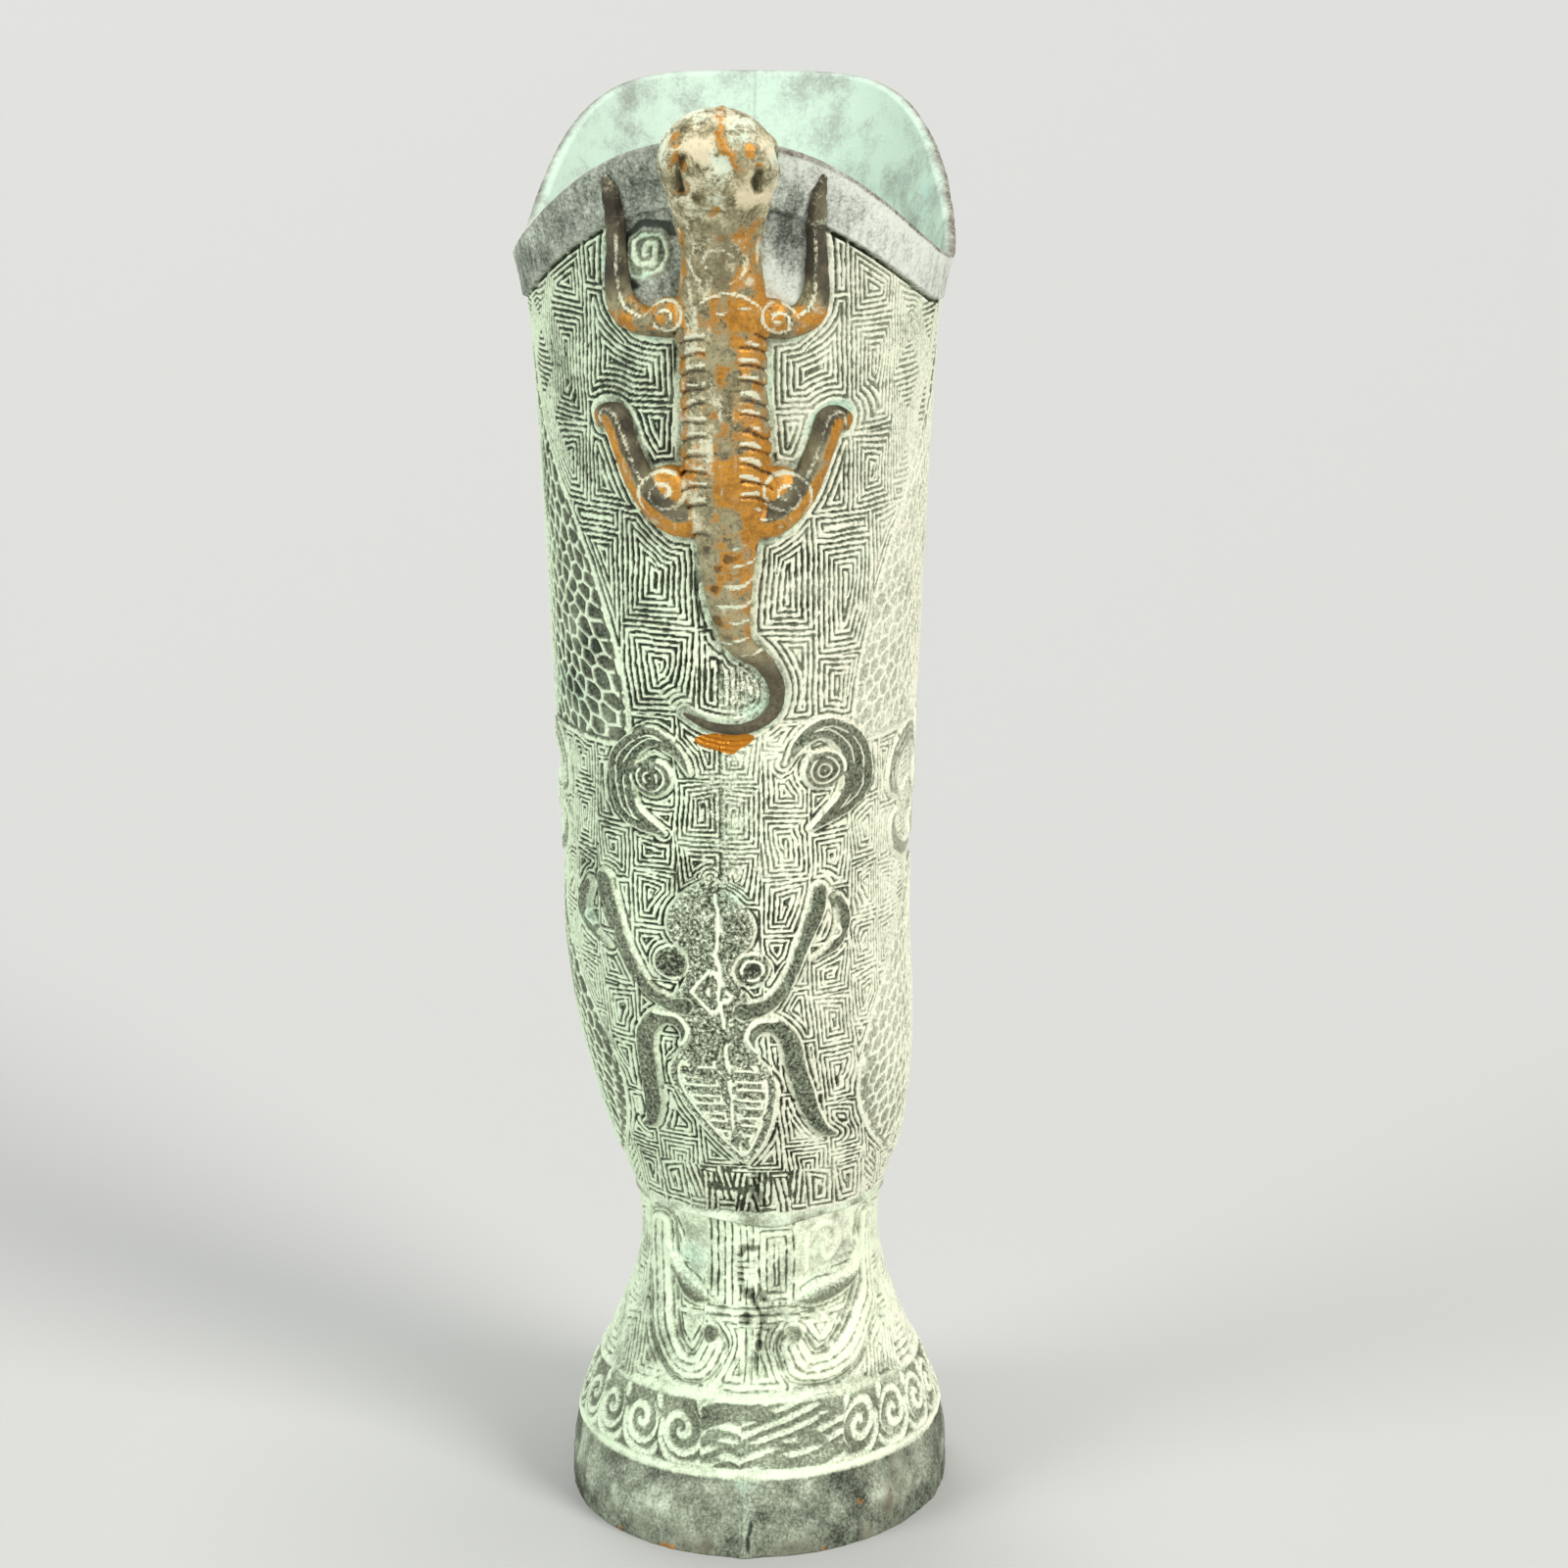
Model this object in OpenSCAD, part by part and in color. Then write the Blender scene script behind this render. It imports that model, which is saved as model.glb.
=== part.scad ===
// Bronze zun wine vessel: an oval beaker with a saddle rim and a dragon climbing one end.
// Millimetres, +Z up. The dragon end faces -Y and the broad sides face +X and -X.
// The origin is on the table, under the middle of the whole object.

/* [Body] */
// Height of the rim at its two low points
rim_low = 226; // [216:1:236]
// How far the rim climbs at the dragon end
front_rise = 25; // [14:0.5:30]
// How far the rim climbs at the far end
back_rise = 25.5; // [14:0.5:30]
// Mouth, across the broad sides
mouth_w = 76.4; // [70:0.2:84]
// Mouth, from end to end
mouth_d = 118; // [108:1:126]
// Belly, across the broad sides
belly_w = 61.6; // [58:0.2:66]
// Belly, from end to end
belly_d = 80; // [74:1:88]
// Wall thickness of the castings
wall = 3; // [2.6:0.1:3.6]
// Wall thickness at the lip
lip = 1.8; // [1.4:0.1:2.4]
// Width of the plain band under the rim
rim_band = 7.5; // [5:0.5:10]
// How far the plain band stands out
band_step = 0.5; // [0.3:0.1:0.8]

/* [Foot] */
// Height at which the body stands on the foot
joint_z = 56; // [52:1:60]
// Joint, across the broad sides
joint_w = 45.2; // [43:0.2:48]
// Joint, from end to end
joint_d = 51; // [48:0.5:55]
// Narrowest point of the foot, across the broad sides
waist_w = 43.2; // [41:0.2:45]
// Narrowest point of the foot, from end to end
waist_d = 49; // [46:0.5:53]
// How far the narrowest point lies below the joint
waist_drop = 8; // [6:0.5:10]
// Foot ring, across the broad sides
foot_w = 68.4; // [64:0.2:74]
// Foot ring, from end to end
foot_d = 97.8; // [90:0.2:104]
// How far the foot was set off the body's centre line
foot_set = 4; // [0:0.5:5]
// Ledge inside the foot's top that carries the chamber floor
ledge = 2.5; // [2:0.1:3.5]
// Thickness of that ledge
ledge_t = 4; // [3:0.5:5]
// Thickness of the chamber floor
floor_t = 3; // [2.5:0.1:4]
// Upper line of the scroll band
band_top = 24; // [22:0.5:26]
// Lower line of the scroll band
band_low = 13; // [11:0.5:15]

/* [Brazing] */
// Half width of the groove along each seam
groove_w = 0.9; // [0.7:0.1:1.2]
// Depth of the groove
groove_d = 1; // [0.8:0.1:1.2]
// How far the braze stands out of the groove
bead = 0.3; // [0.2:0.1:0.4]
// How far the braze ring at the joint stands out
ring_bead = 0.8; // [0.6:0.1:1]
// Half width of that ring
ring_w = 1.6; // [1.2:0.1:2]
// Gap between pieces that are seated on each other
seat_gap = 0.1; // [0.05:0.05:0.15]

/* [Relief] */
// Height of the cast figures above the ground
relief = 1.1; // [0.8:0.1:1.4]
// Height of the flat panels on the broad sides
panel = 0.7; // [0.5:0.1:1]
// How far the frog lies off the seam
frog_shift = -2.2; // [-3:0.1:0]

/* [Dragon] */
// How far the dragon lies off the seam
dragon_shift = 1; // [-1:0.5:2]
// How far its tail hangs below the low points of the rim
tail_drop = 80; // [72:1:84]
// Half width of the dragon's head
head_r = 10; // [9:0.2:11]
// How far the head stands out from the wall
head_out = 8.4; // [7.6:0.2:9]
// Half width of the dragon's trunk
trunk_r = 7.4; // [6.6:0.2:8]
// Half thickness of the dragon's legs
leg_r = 2.2; // [1.8:0.1:2.6]

/* [Hidden] */
bronze = "#6f7a5c";
braze = "#a79a63";
copper = "#b5763a";
waist_z = joint_z - waist_drop;
belly_z = joint_z + (rim_low - joint_z) * 0.375;
lift_z = joint_z + (rim_low - joint_z) * 0.64;
arc_steps = 16;
arc = [for (i = [0:arc_steps]) -86 + 172 * i / arc_steps];
root = 1.4; // how deep the reliefs are rooted in the wall
body_heights = [
  joint_z, joint_z + 5, joint_z + 11, joint_z + 19, joint_z + 32, belly_z - 14, belly_z + 4,
  belly_z + 24, lift_z, lift_z + 20, rim_low - 22, rim_low - rim_band - 0.4, rim_low - rim_band,
  rim_low - 3.5, rim_low
];
foot_heights = [
  0, 5, band_low - 4, band_low, (band_low + band_top) / 2, band_top, band_top + 7,
  band_top + 15, waist_z, joint_z - ledge_t - 0.2, joint_z - ledge_t, joint_z
];

// The dragon's head reaches further out than the far rim, so all is set back by half the difference
mid_y = (half_d(rim_low - 1.5) + head_out - half_d(rim_low)) / 2;

function mix(a, b, t) = a + (b - a) * t;
function clip(t) = min(1, max(0, t));
function ease(t) = clip(t) * clip(t) * (3 - 2 * clip(t));

// Half width and half depth of the outside at a nominal height
function body_half(h, low, mid, top, fall, even, turn) =
  h < belly_z
    ? mix(low, mid, 1 - pow(1 - clip((h - joint_z) / (belly_z - joint_z)), fall)) / 2
    : mix(mid, top, even * pow((h - belly_z) / (rim_low - belly_z), 1.1)
      + (1 - even) * pow((h - belly_z) / (rim_low - belly_z), turn)) / 2;
function foot_half(h, joint, waist, ring, slow, toe) =
  h > waist_z
    ? mix(waist, joint, pow((h - waist_z) / (joint_z - waist_z), 2)) / 2
    : mix(waist, ring, ease(pow((waist_z - h) / (waist_z - toe), slow))) / 2;
function step_at(h) = h >= rim_low - rim_band ? band_step : 0;
function half_w(h) =
  h < joint_z
    ? foot_half(h, joint_w, waist_w, foot_w, 1, 4)
    : body_half(h, joint_w, belly_w, mouth_w, 3.1, 0.68, 12) + step_at(h);
function half_d(h) =
  h < joint_z
    ? foot_half(h, joint_d, waist_d, foot_d, 1.35, 0)
    : body_half(h, joint_d, belly_d, mouth_d, 2.4, 0.5, 3.6) + step_at(h);
function fullness(h) = 2 + 0.4 * clip((h - joint_z) / 60);
function axis_x(h) = foot_set * (1 - ease((h - joint_z) / 55));

// The rim climbs towards both ends, and the upper body climbs with it
function climb(f) = f < 0 ? front_rise * pow(-f, 2.3) : back_rise * ease(f);
function true_z(h, f) =
  h < lift_z ? h : mix(h, h + climb(f), (h - lift_z) / (rim_low - lift_z));

// Points of the outside: by plan angle, by distance from a seam, by distance from the side's middle
function wall_point(side, a, h, out) =
  let (n = fullness(h), c = pow(abs(cos(a)), 2 / n), s = sign(sin(a)) * pow(abs(sin(a)), 2 / n))
  [axis_x(h) + side * (half_w(h) + out) * c, (half_d(h) + out) * s, true_z(h, s)];
function end_point(end, x, h, out) =
  let (w = half_w(h), n = fullness(h), f = pow(max(0, 1 - pow(abs(x) / w, n)), 1 / n))
  [axis_x(h) + x * (w + out) / w, end * (half_d(h) + out) * f, true_z(h, end * f)];
function side_point(side, y, h, out) =
  let (d = half_d(h), n = fullness(h), c = pow(max(0, 1 - pow(abs(y) / d, n)), 1 / n))
  [axis_x(h) + side * (half_w(h) + out) * c, y * (d + out) / d, true_z(h, y / d)];

// Thickness of the castings: thinner at the lip, thicker at the ledge in the foot
function body_wall(h) = mix(wall, lip, ease((h - rim_low + 16) / 16));
function foot_wall(h) = h > joint_z - ledge_t - 0.1 ? wall + ledge : wall;

// Half a level of the wall, from the groove at the front seam to the groove at the back seam
function wall_row(side, h, out) = concat(
  [end_point(-1, side * groove_w, h, out)],
  [for (a = arc) wall_point(side, a, h, out)],
  [end_point(1, side * groove_w, h, out)]
);
function backwards(list) = [for (i = [len(list) - 1:-1:0]) list[i]];

// One level of a half casting: round the outside, then back along the inside
function half_ring(side, h, t) =
  let (
    x0 = axis_x(h) + side * seat_gap / 2,
    x1 = axis_x(h) + side * groove_w,
    d = half_d(h),
    front = -d + groove_d,
    ring = concat(
      [[x0, front, true_z(h, -1)], [x1, front, true_z(h, -1)]],
      wall_row(side, h, 0),
      [[x1, -front, true_z(h, 1)], [x0, -front, true_z(h, 1)]],
      [[x0, d - t, true_z(h, 1)]],
      backwards(wall_row(side, h, -t)),
      [[x0, t - d, true_z(h, -1)]]
    )
  )
  side > 0 ? ring : backwards(ring);

// Solid between rings of equal length, each counter-clockwise from above
module loft(rings, bottom, top) {
  n = len(rings[0]);
  m = len(rings);
  sides = [
    for (i = [0:m - 2], j = [0:n - 1])
      [i * n + j, (i + 1) * n + j, (i + 1) * n + (j + 1) % n, i * n + (j + 1) % n]
  ];
  polyhedron([for (r = rings) each r], concat(sides, bottom, [
    for (f = top) [for (k = f) (m - 1) * n + k]
  ]), convexity = 6);
}

// End caps of a ring that runs out along one face and back along the other
function strip_cap(n, up) = [
  for (i = [0:n / 2 - 2])
    up ? [n - 1 - i, n - 2 - i, i + 1, i] : [i, i + 1, n - 2 - i, n - 1 - i]
];

module half_shell(side, heights, thick) {
  rings = [for (i = [0:len(heights) - 1]) half_ring(side, heights[i], thick[i])];
  n = len(rings[0]);
  loft(rings, strip_cap(n, false), strip_cap(n, true));
}

// Raised sheet between an outer and an inner grid of points
module sheet(outer, inner, turned) {
  r = len(outer);
  c = len(outer[0]);
  n = r * c;
  cells = [
    for (i = [0:r - 2], j = [0:c - 2])
      let (k = i * c + j)
      [k, k + c, k + c + 1, k + 1]
  ];
  edge = concat(
    [for (j = [0:c - 1]) j],
    [for (i = [1:r - 1]) i * c + c - 1],
    [for (j = [c - 2:-1:0]) (r - 1) * c + j],
    [for (i = [r - 2:-1:1]) i * c]
  );
  e = len(edge);
  faces = concat(
    cells,
    [for (f = cells) backwards(f) + [n, n, n, n]],
    [for (k = [0:e - 1]) [edge[k], edge[(k + 1) % e], edge[(k + 1) % e] + n, edge[k] + n]]
  );
  polyhedron(
    concat([for (row = outer) each row], [for (row = inner) each row]),
    turned ? [for (f = faces) backwards(f)] : faces,
    convexity = 6
  );
}

// Smooth curve through control points
function bend(a, b, c, d, t) =
  (2 * b + (c - a) * t + (2 * a - 5 * b + 4 * c - d) * t * t + (3 * b - a - 3 * c + d) * t * t * t) / 2;
function smooth(p, n) = concat(
  [
    for (i = [0:len(p) - 2], k = [0:n - 1])
      bend(p[max(0, i - 1)], p[i], p[i + 1], p[min(len(p) - 1, i + 2)], k / n)
  ],
  [p[len(p) - 1]]
);
// Unit vector to the left of a path at one of its points
function left_of(p, i) =
  let (d = p[min(len(p) - 1, i + 1)] - p[max(0, i - 1)], l = norm([d[0], d[1]]))
  [-d[1] / l, d[0] / l];
// Path of [across, up, half width] set from a centre line and a base height, mirrored with the side
function placed(path, shift, base, side, size = 1) =
  [for (p = path) [shift + side * size * p[0], base + size * p[1], p[2]]];

// Flat-topped relief along a path of [across, height, half width], on an end or on a broad side
module ribbon(place, path, lift, turned) {
  grid = function (out) [
    for (i = [0:len(path) - 1])
      let (p = path[i], n = left_of(path, i))
      [for (k = [-1, 1]) place(p[0] + n[0] * p[2] * k, p[1] + n[1] * p[2] * k, out)]
  ];
  sheet(grid(lift), grid(-root), turned);
}

module end_ribbon(end, path, lift) {
  ribbon(function (x, h, out) end_point(end, x, h, out), smooth(path, 2), lift, end < 0);
}

module side_ribbon(side, path, lift) {
  ribbon(function (y, h, out) side_point(side, y, h, out), smooth(path, 2), lift, side > 0);
}

// Flat-topped boss: [across, height, radius]
module end_bead(end, p, lift) {
  translate(end_point(end, p[0], p[1], -root)) rotate([-end * 90, 0, 0])
    cylinder(r1 = p[2] + 0.4, r2 = p[2] - 0.3, h = lift + root, $fn = 7);
}

module side_bead(side, p, lift) {
  translate(side_point(side, p[0], p[1], -root)) rotate([0, side * 90, 0])
    cylinder(r1 = p[2] + 0.4, r2 = p[2] - 0.3, h = lift + root, $fn = 7);
}

module end_pad(end, points, lift) {
  hull()
    for (p = points)
      end_bead(end, p, lift);
}

// Half of the frog at an end: crest, head, eye, raised arm, folded leg and pointed belly
module frog_half(side, end) {
  pad = function (points) placed(points, frog_shift, joint_z, side);
  end_pad(end, pad([[1.5, 61.5, 3.4], [5.4, 57.6, 2.8], [1.5, 56, 3]]), relief);
  end_pad(end, pad([[1.5, 55, 3.2], [6, 49.5, 3.4], [5, 41, 3.4], [1.5, 39, 3.2]]), relief);
  end_pad(end, pad([[7, 50.2, 2.8], [7, 49.6, 2.8]]), relief + 0.6);
  end_pad(end, pad([[1.5, 35, 3], [8.8, 31, 2.4], [6.6, 22, 2], [1.5, 13, 1.6]]), relief);
  end_ribbon(end, pad([
    [6, 41.6, 1.8], [12.8, 45.6, 1.7], [16.6, 54, 1.6], [19.4, 61, 1.7], [20.6, 64, 0.8]
  ]), relief);
  end_ribbon(end, pad([[18.4, 51.4, 0.7], [21.6, 54.4, 1.4], [22.8, 58.6, 0.9]]), relief);
  end_ribbon(end, pad([
    [9.6, 34.4, 0.9], [7.2, 36, 1.4], [9, 39, 1.7], [13.6, 38.6, 1.8], [16.6, 32.6, 1.8],
    [15.4, 22.6, 1.7], [16.2, 15, 0.9]
  ]), relief);
}

// Beast mask on a broad side: C-shaped horns at the outer ends, ears, eyes and a nose ridge
module mask(side) {
  for (end = [-1, 1]) {
    end_ribbon(end, placed([
      [9, 21.2, 0.5], [14.6, 26.4, 1.8], [20, 21.6, 2.5], [19.6, 12.8, 2.4], [13, 8.8, 0.9]
    ], 0, belly_z, side), relief);
    end_pad(end, placed([[14.6, 19, 2.8], [14.8, 18, 2.8]], 0, belly_z, side), relief);
    side_ribbon(side, placed([[27, 6.2, 0.5], [19, 11.2, 2.2], [12, 18.8, 0.5]], 0, belly_z, end), relief);
    hull()
      for (p = placed([[9, 7.2, 2.8], [7.6, 7.2, 2.8]], 0, belly_z, end))
        side_bead(side, p, relief + 0.6);
  }
  side_ribbon(side, placed([[0, 20.2, 0.6], [0, 11.2, 1.6], [0, 2.2, 2.6]], 0, belly_z, 1), relief);
}

// Panel on a broad side with a given half width at each height
module side_panel(side, low, high, half, steps) {
  grid = function (out) [
    for (i = [0:steps])
      [
        for (j = [-3:3])
          side_point(side, half(i / steps) * j / 3, mix(low, high, i / steps), out)
      ]
  ];
  sheet(grid(panel), grid(-1.2), side < 0);
}

module side_reliefs(side) {
  for (end = [-1, 1])
    frog_half(side, end);
  mask(side);
  side_panel(side, belly_z + 23.2, rim_low - 26, function (t) 0.3 + 33 * pow(1 - t, 0.8), 5);
  side_panel(side, joint_z + 5, belly_z - 1.8, function (t) 0.3 + 26 * pow(sin(180 * pow(t, 0.8)), 0.75), 7);
}

// Heights of a list that lie between two others, with those two at the ends
function between(list, low, high) = concat(
  [low],
  [for (h = list) if (h > low + 0.3 && h < high - 0.3) h],
  [high]
);

// Room of one half, clear of the groove along the seam, whose line bends above the joint
module half_room(side, low, high) {
  hs = between([for (k = [0:4]) joint_z + 14 * k], low, high);
  far = mouth_d;
  rings = [
    for (h = hs)
      let (a = axis_x(h) + side * (groove_w + seat_gap), b = side * far)
      side > 0
        ? [[a, -far, h], [b, -far, h], [b, far, h], [a, far, h]]
        : [[b, -far, h], [a, -far, h], [a, far, h], [b, far, h]]
  ];
  loft(rings, [[0, 1, 2, 3]], [[3, 2, 1, 0]]);
}

module body_half_casting(side) {
  color(bronze) {
    half_shell(side, body_heights, [for (h = body_heights) body_wall(h)]);
    intersection() {
      side_reliefs(side);
      half_room(side, joint_z, rim_low);
    }
  }
}

module body_left() {
  body_half_casting(-1);
}

module body_right() {
  body_half_casting(1);
}

// Foot: hooked scrolls beside each seam, a crescent above each, and the lines of the scroll band
module foot_scrolls(side, end) {
  pad = function (points) placed(points, 0, band_top, side);
  end_ribbon(end, pad([
    [19, 21, 0.6], [18.6, 12, 1.4], [16.6, 5, 1.9], [11.6, 1.8, 1.9], [7.2, 3.6, 1.7],
    [6.4, 8, 1.4], [9.2, 8.8, 0.6]
  ]), relief);
  end_ribbon(end, pad([[15.6, 20, 0.5], [12.8, 16.8, 1.3], [10, 15.6, 1.4], [7.4, 16, 0.5]]), relief);
}

module band_line(side, h) {
  grid = function (out) [
    for (k = [-0.5, 0.5])
      [for (a = arc) wall_point(side, a, h + k, out)]
  ];
  sheet(grid(0.5), grid(-0.8), side < 0);
}

module foot_half_casting(side) {
  color(bronze) {
    half_shell(side, foot_heights, [for (h = foot_heights) foot_wall(h)]);
    intersection() {
      for (end = [-1, 1])
        foot_scrolls(side, end);
      half_room(side, 0, joint_z);
    }
    band_line(side, band_top);
    band_line(side, band_low);
  }
}

module foot_left() {
  foot_half_casting(-1);
}

module foot_right() {
  foot_half_casting(1);
}

module chamber_floor() {
  gap = wall + seat_gap + 0.2;
  color(bronze)
    translate([axis_x(joint_z), 0, joint_z])
      linear_extrude(floor_t)
        polygon([
          for (i = [0:47])
            [(joint_w / 2 - gap) * cos(i * 7.5), (joint_d / 2 - gap) * sin(i * 7.5)]
        ]);
}

// Braze strip that fills the groove along one end of the vessel
module seam(end, heights) {
  g = groove_w - seat_gap;
  rings = [
    for (h = heights)
      let (
        x = axis_x(h),
        z = true_z(h, end),
        deep = half_d(h) - groove_d + seat_gap,
        face = half_d(h),
        ring = [
          [x - g, end * deep, z], [x - g, end * face, z], [x, end * (face + bead), z],
          [x + g, end * face, z], [x + g, end * deep, z]
        ]
      )
      end > 0 ? backwards(ring) : ring
  ];
  loft(rings, [[0, 1, 2, 3, 4]], [[4, 3, 2, 1, 0]]);
}

module front_body_seam() {
  color(braze) seam(-1, between(body_heights, joint_z + 2, rim_low - 0.2));
}

module back_body_seam() {
  color(braze) seam(1, between(body_heights, joint_z + 2, rim_low - 0.2));
}

module front_foot_seam() {
  color(braze) seam(-1, between(foot_heights, 0.4, joint_z - 2));
}

module back_foot_seam() {
  color(braze) seam(1, between(foot_heights, 0.4, joint_z - 2));
}

// Braze ring round the joint of body and foot
module joint_ring() {
  crown = 0.4 * ring_w;
  section = [[-ring_w, seat_gap], [-crown, ring_bead], [crown, ring_bead], [ring_w, seat_gap]];
  n = 48;
  function ring_point(a, p) =
    let (h = joint_z + p[0])
    [
      axis_x(joint_z) + (half_w(h) + p[1]) * cos(a),
      (half_d(h) + p[1]) * sin(a),
      h
    ];
  points = [for (i = [0:n - 1], p = section) ring_point(i * 360 / n, p)];
  faces = [
    for (i = [0:n - 1], k = [0:3])
      let (a = i * 4, b = (i + 1) % n * 4, q = (k + 1) % 4)
      [a + k, a + q, b + q, b + k]
  ];
  color(braze) polyhedron(points, faces, convexity = 4);
}

// The dragon: limbs swept along paths of [across, height, half width] on the front wall
module limb(path, lift, flat, sides) {
  n = sides;
  m = len(path);
  points = [
    for (i = [0:m - 1], k = [0:n - 1])
      let (p = path[i], v = left_of(path, i), a = k * 360 / n)
      end_point(
        -1,
        dragon_shift + p[0] + v[0] * p[2] * cos(a),
        p[1] + v[1] * p[2] * cos(a),
        lift + flat * p[2] * sin(a)
      )
  ];
  skin = [
    for (i = [0:m - 2], k = [0:n - 1])
      [i * n + k, (i + 1) * n + k, (i + 1) * n + (k + 1) % n, i * n + (k + 1) % n]
  ];
  polyhedron(points, concat(
    skin,
    [[for (k = [0:n - 1]) k]],
    [[for (k = [n - 1:-1:0]) (m - 1) * n + k]]
  ), convexity = 6);
}

// Places on the dragon are given for a tail that hangs 80 below the rim
function on_dragon(points, side) = placed(points, 0, rim_low, side, tail_drop / 80);

module dragon_leg(side) {
  r = leg_r;
  limb(smooth(on_dragon([
    [2, -21.4, r + 1], [7, -21.2, r + 0.9], [13, -21, r + 0.5], [17.4, -18.4, r + 0.2],
    [18.4, -13, r], [18, -7.4, r - 0.3], [18.4, -4, r - 0.5], [19, -2.6, 0.6]
  ], side), 2), 0.5, 0.9, 5);
  limb(smooth(on_dragon([
    [2, -45.4, r + 1], [8.6, -46.2, r + 0.8], [14.4, -42.4, r + 0.4], [18, -36.4, r],
    [19.8, -32.2, r], [22, -31.4, r - 0.8], [22.6, -33.4, 0.5]
  ], side), 2), 0.5, 0.9, 5);
  for (p = on_dragon([[9.4, -20.8, 1.6 * r], [9.6, -42.6, 2.1 * r]], side))
    boss(p);
}

// Low round shoulder or hip
module boss(p) {
  r = p[2];
  translate(end_point(-1, dragon_shift + p[0], p[1], 0.4))
    rotate([90, 0, 0]) {
      cylinder(r1 = r + 0.3, r2 = r, h = 0.45 * r, $fn = 12);
      translate([0, 0, 0.45 * r]) cylinder(r1 = r, r2 = 0.5 * r, h = 0.35 * r, $fn = 12);
    }
}

module dragon_trunk() {
  r = trunk_r;
  limb(smooth(on_dragon([
    [0, -6, r - 1.6], [0, -13, r - 1.4], [0, -19.5, r], [0, -30, r - 0.2], [0.4, -40, r + 0.2],
    [0.8, -48, r - 1], [1.2, -56, r - 3], [2.6, -61.6, r - 4], [6.2, -65.6, r - 4.3],
    [9, -70.6, r - 4.5], [7.8, -76.6, r - 4.6], [2.4, -80, r - 4.8], [-3.4, -79.6, r - 5.2],
    [-7.4, -77, 0.6]
  ], 1), 2), 0.6, 0.72, 8);
}

// Ribs across the back, between shoulders and hips
module dragon_ribs() {
  r = 0.82 * trunk_r;
  rise = function (t) 0.72 * trunk_r * sqrt(1 - 0.67 * t * t);
  for (p = on_dragon([for (i = [0:6]) [0, -23 - 3 * i, 0.8]], 1)) {
    grid = function (out) [
      for (k = [-1, 1])
        [
          for (t = [-1, -0.5, 0, 0.5, 1])
            end_point(-1, dragon_shift + t * r, p[1] + k * p[2] - abs(t), rise(t) + out)
        ]
    ];
    sheet(grid(1.2), grid(-1.5), false);
  }
}

// Place on the front seam line, or over it above the rim
function over_rim(up, out) =
  end_point(-1, dragon_shift, rim_low + min(0, up), out) + [0, 0, max(0, up)];

// Head, as it looks over the rim, by sections of [up from the rim, half width, out, half depth]
module dragon_head() {
  k = head_r / 10;
  deep = head_out / 8.4;
  sections = [
    [-14, 5.8, 0.8, 3.8], [-12, 6.4, 1, 4.4], [-9, 6.8, 1.5, 5.1], [-6.5, 8, 2, 5.6], [-4, 9.4, 2.3, 6],
    [-1.5, 10, 2.4, 6], [1, 9.6, 2.1, 5.6], [3.6, 7.8, 1.5, 4.8], [5.2, 5, 0.9, 3.4], [6, 2.2, 0.3, 1.6]
  ];
  n = 14;
  ring = function (q) [
    for (i = [0:n - 1])
      let (a = i * 360 / n)
      over_rim(q[0] * k, deep * q[2]) + [k * q[1] * cos(a), deep * q[3] * sin(a), 0]
  ];
  eye = function (out) over_rim(-4 * k, out * deep);
  difference() {
    union() {
      loft([for (q = sections) ring(q)], [[for (i = [0:n - 1]) i]], [[for (i = [n - 1:-1:0]) i]]);
      for (side = [-1, 1])
        translate(eye(5.6) + [side * 5 * k, 0, 0])
          scale([0.8, 0.7, 1.2] * k)
            sphere(r = 4, $fn = 10);
      hull()
        for (p = [[-3, 8], [0.6, 7.6], [4.2, 5.8]])
          translate(over_rim(p[0] * k, p[1] * deep)) sphere(r = 1, $fn = 8);
    }
    for (side = [-1, 1])
      translate(eye(8.6) + [side * 5.2 * k, 0, 0])
        scale([0.5, 0.8, 1] * k)
          sphere(r = 3.2, $fn = 10);
  }
}

// The wall that the dragon is seated on, with the seam's bead
module dragon_seat() {
  out = bead + seat_gap;
  rings = [
    for (h = body_heights)
      if (h > belly_z)
        concat(wall_row(1, h, out), backwards(wall_row(-1, h, out)))
  ];
  n = len(rings[0]);
  loft(rings, strip_cap(n, false), strip_cap(n, true));
}

module dragon() {
  color(copper)
    difference() {
      union() {
        dragon_trunk();
        dragon_ribs();
        dragon_head();
        for (side = [-1, 1])
          dragon_leg(side);
      }
      dragon_seat();
    }
}

translate([0, mid_y, 0]) body_left();
translate([0, mid_y, 0]) body_right();
translate([0, mid_y, 0]) foot_left();
translate([0, mid_y, 0]) foot_right();
translate([0, mid_y, 0]) chamber_floor();
translate([0, mid_y, 0]) front_body_seam();
translate([0, mid_y, 0]) back_body_seam();
translate([0, mid_y, 0]) front_foot_seam();
translate([0, mid_y, 0]) back_foot_seam();
translate([0, mid_y, 0]) joint_ring();
translate([0, mid_y, 0]) dragon();
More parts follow.
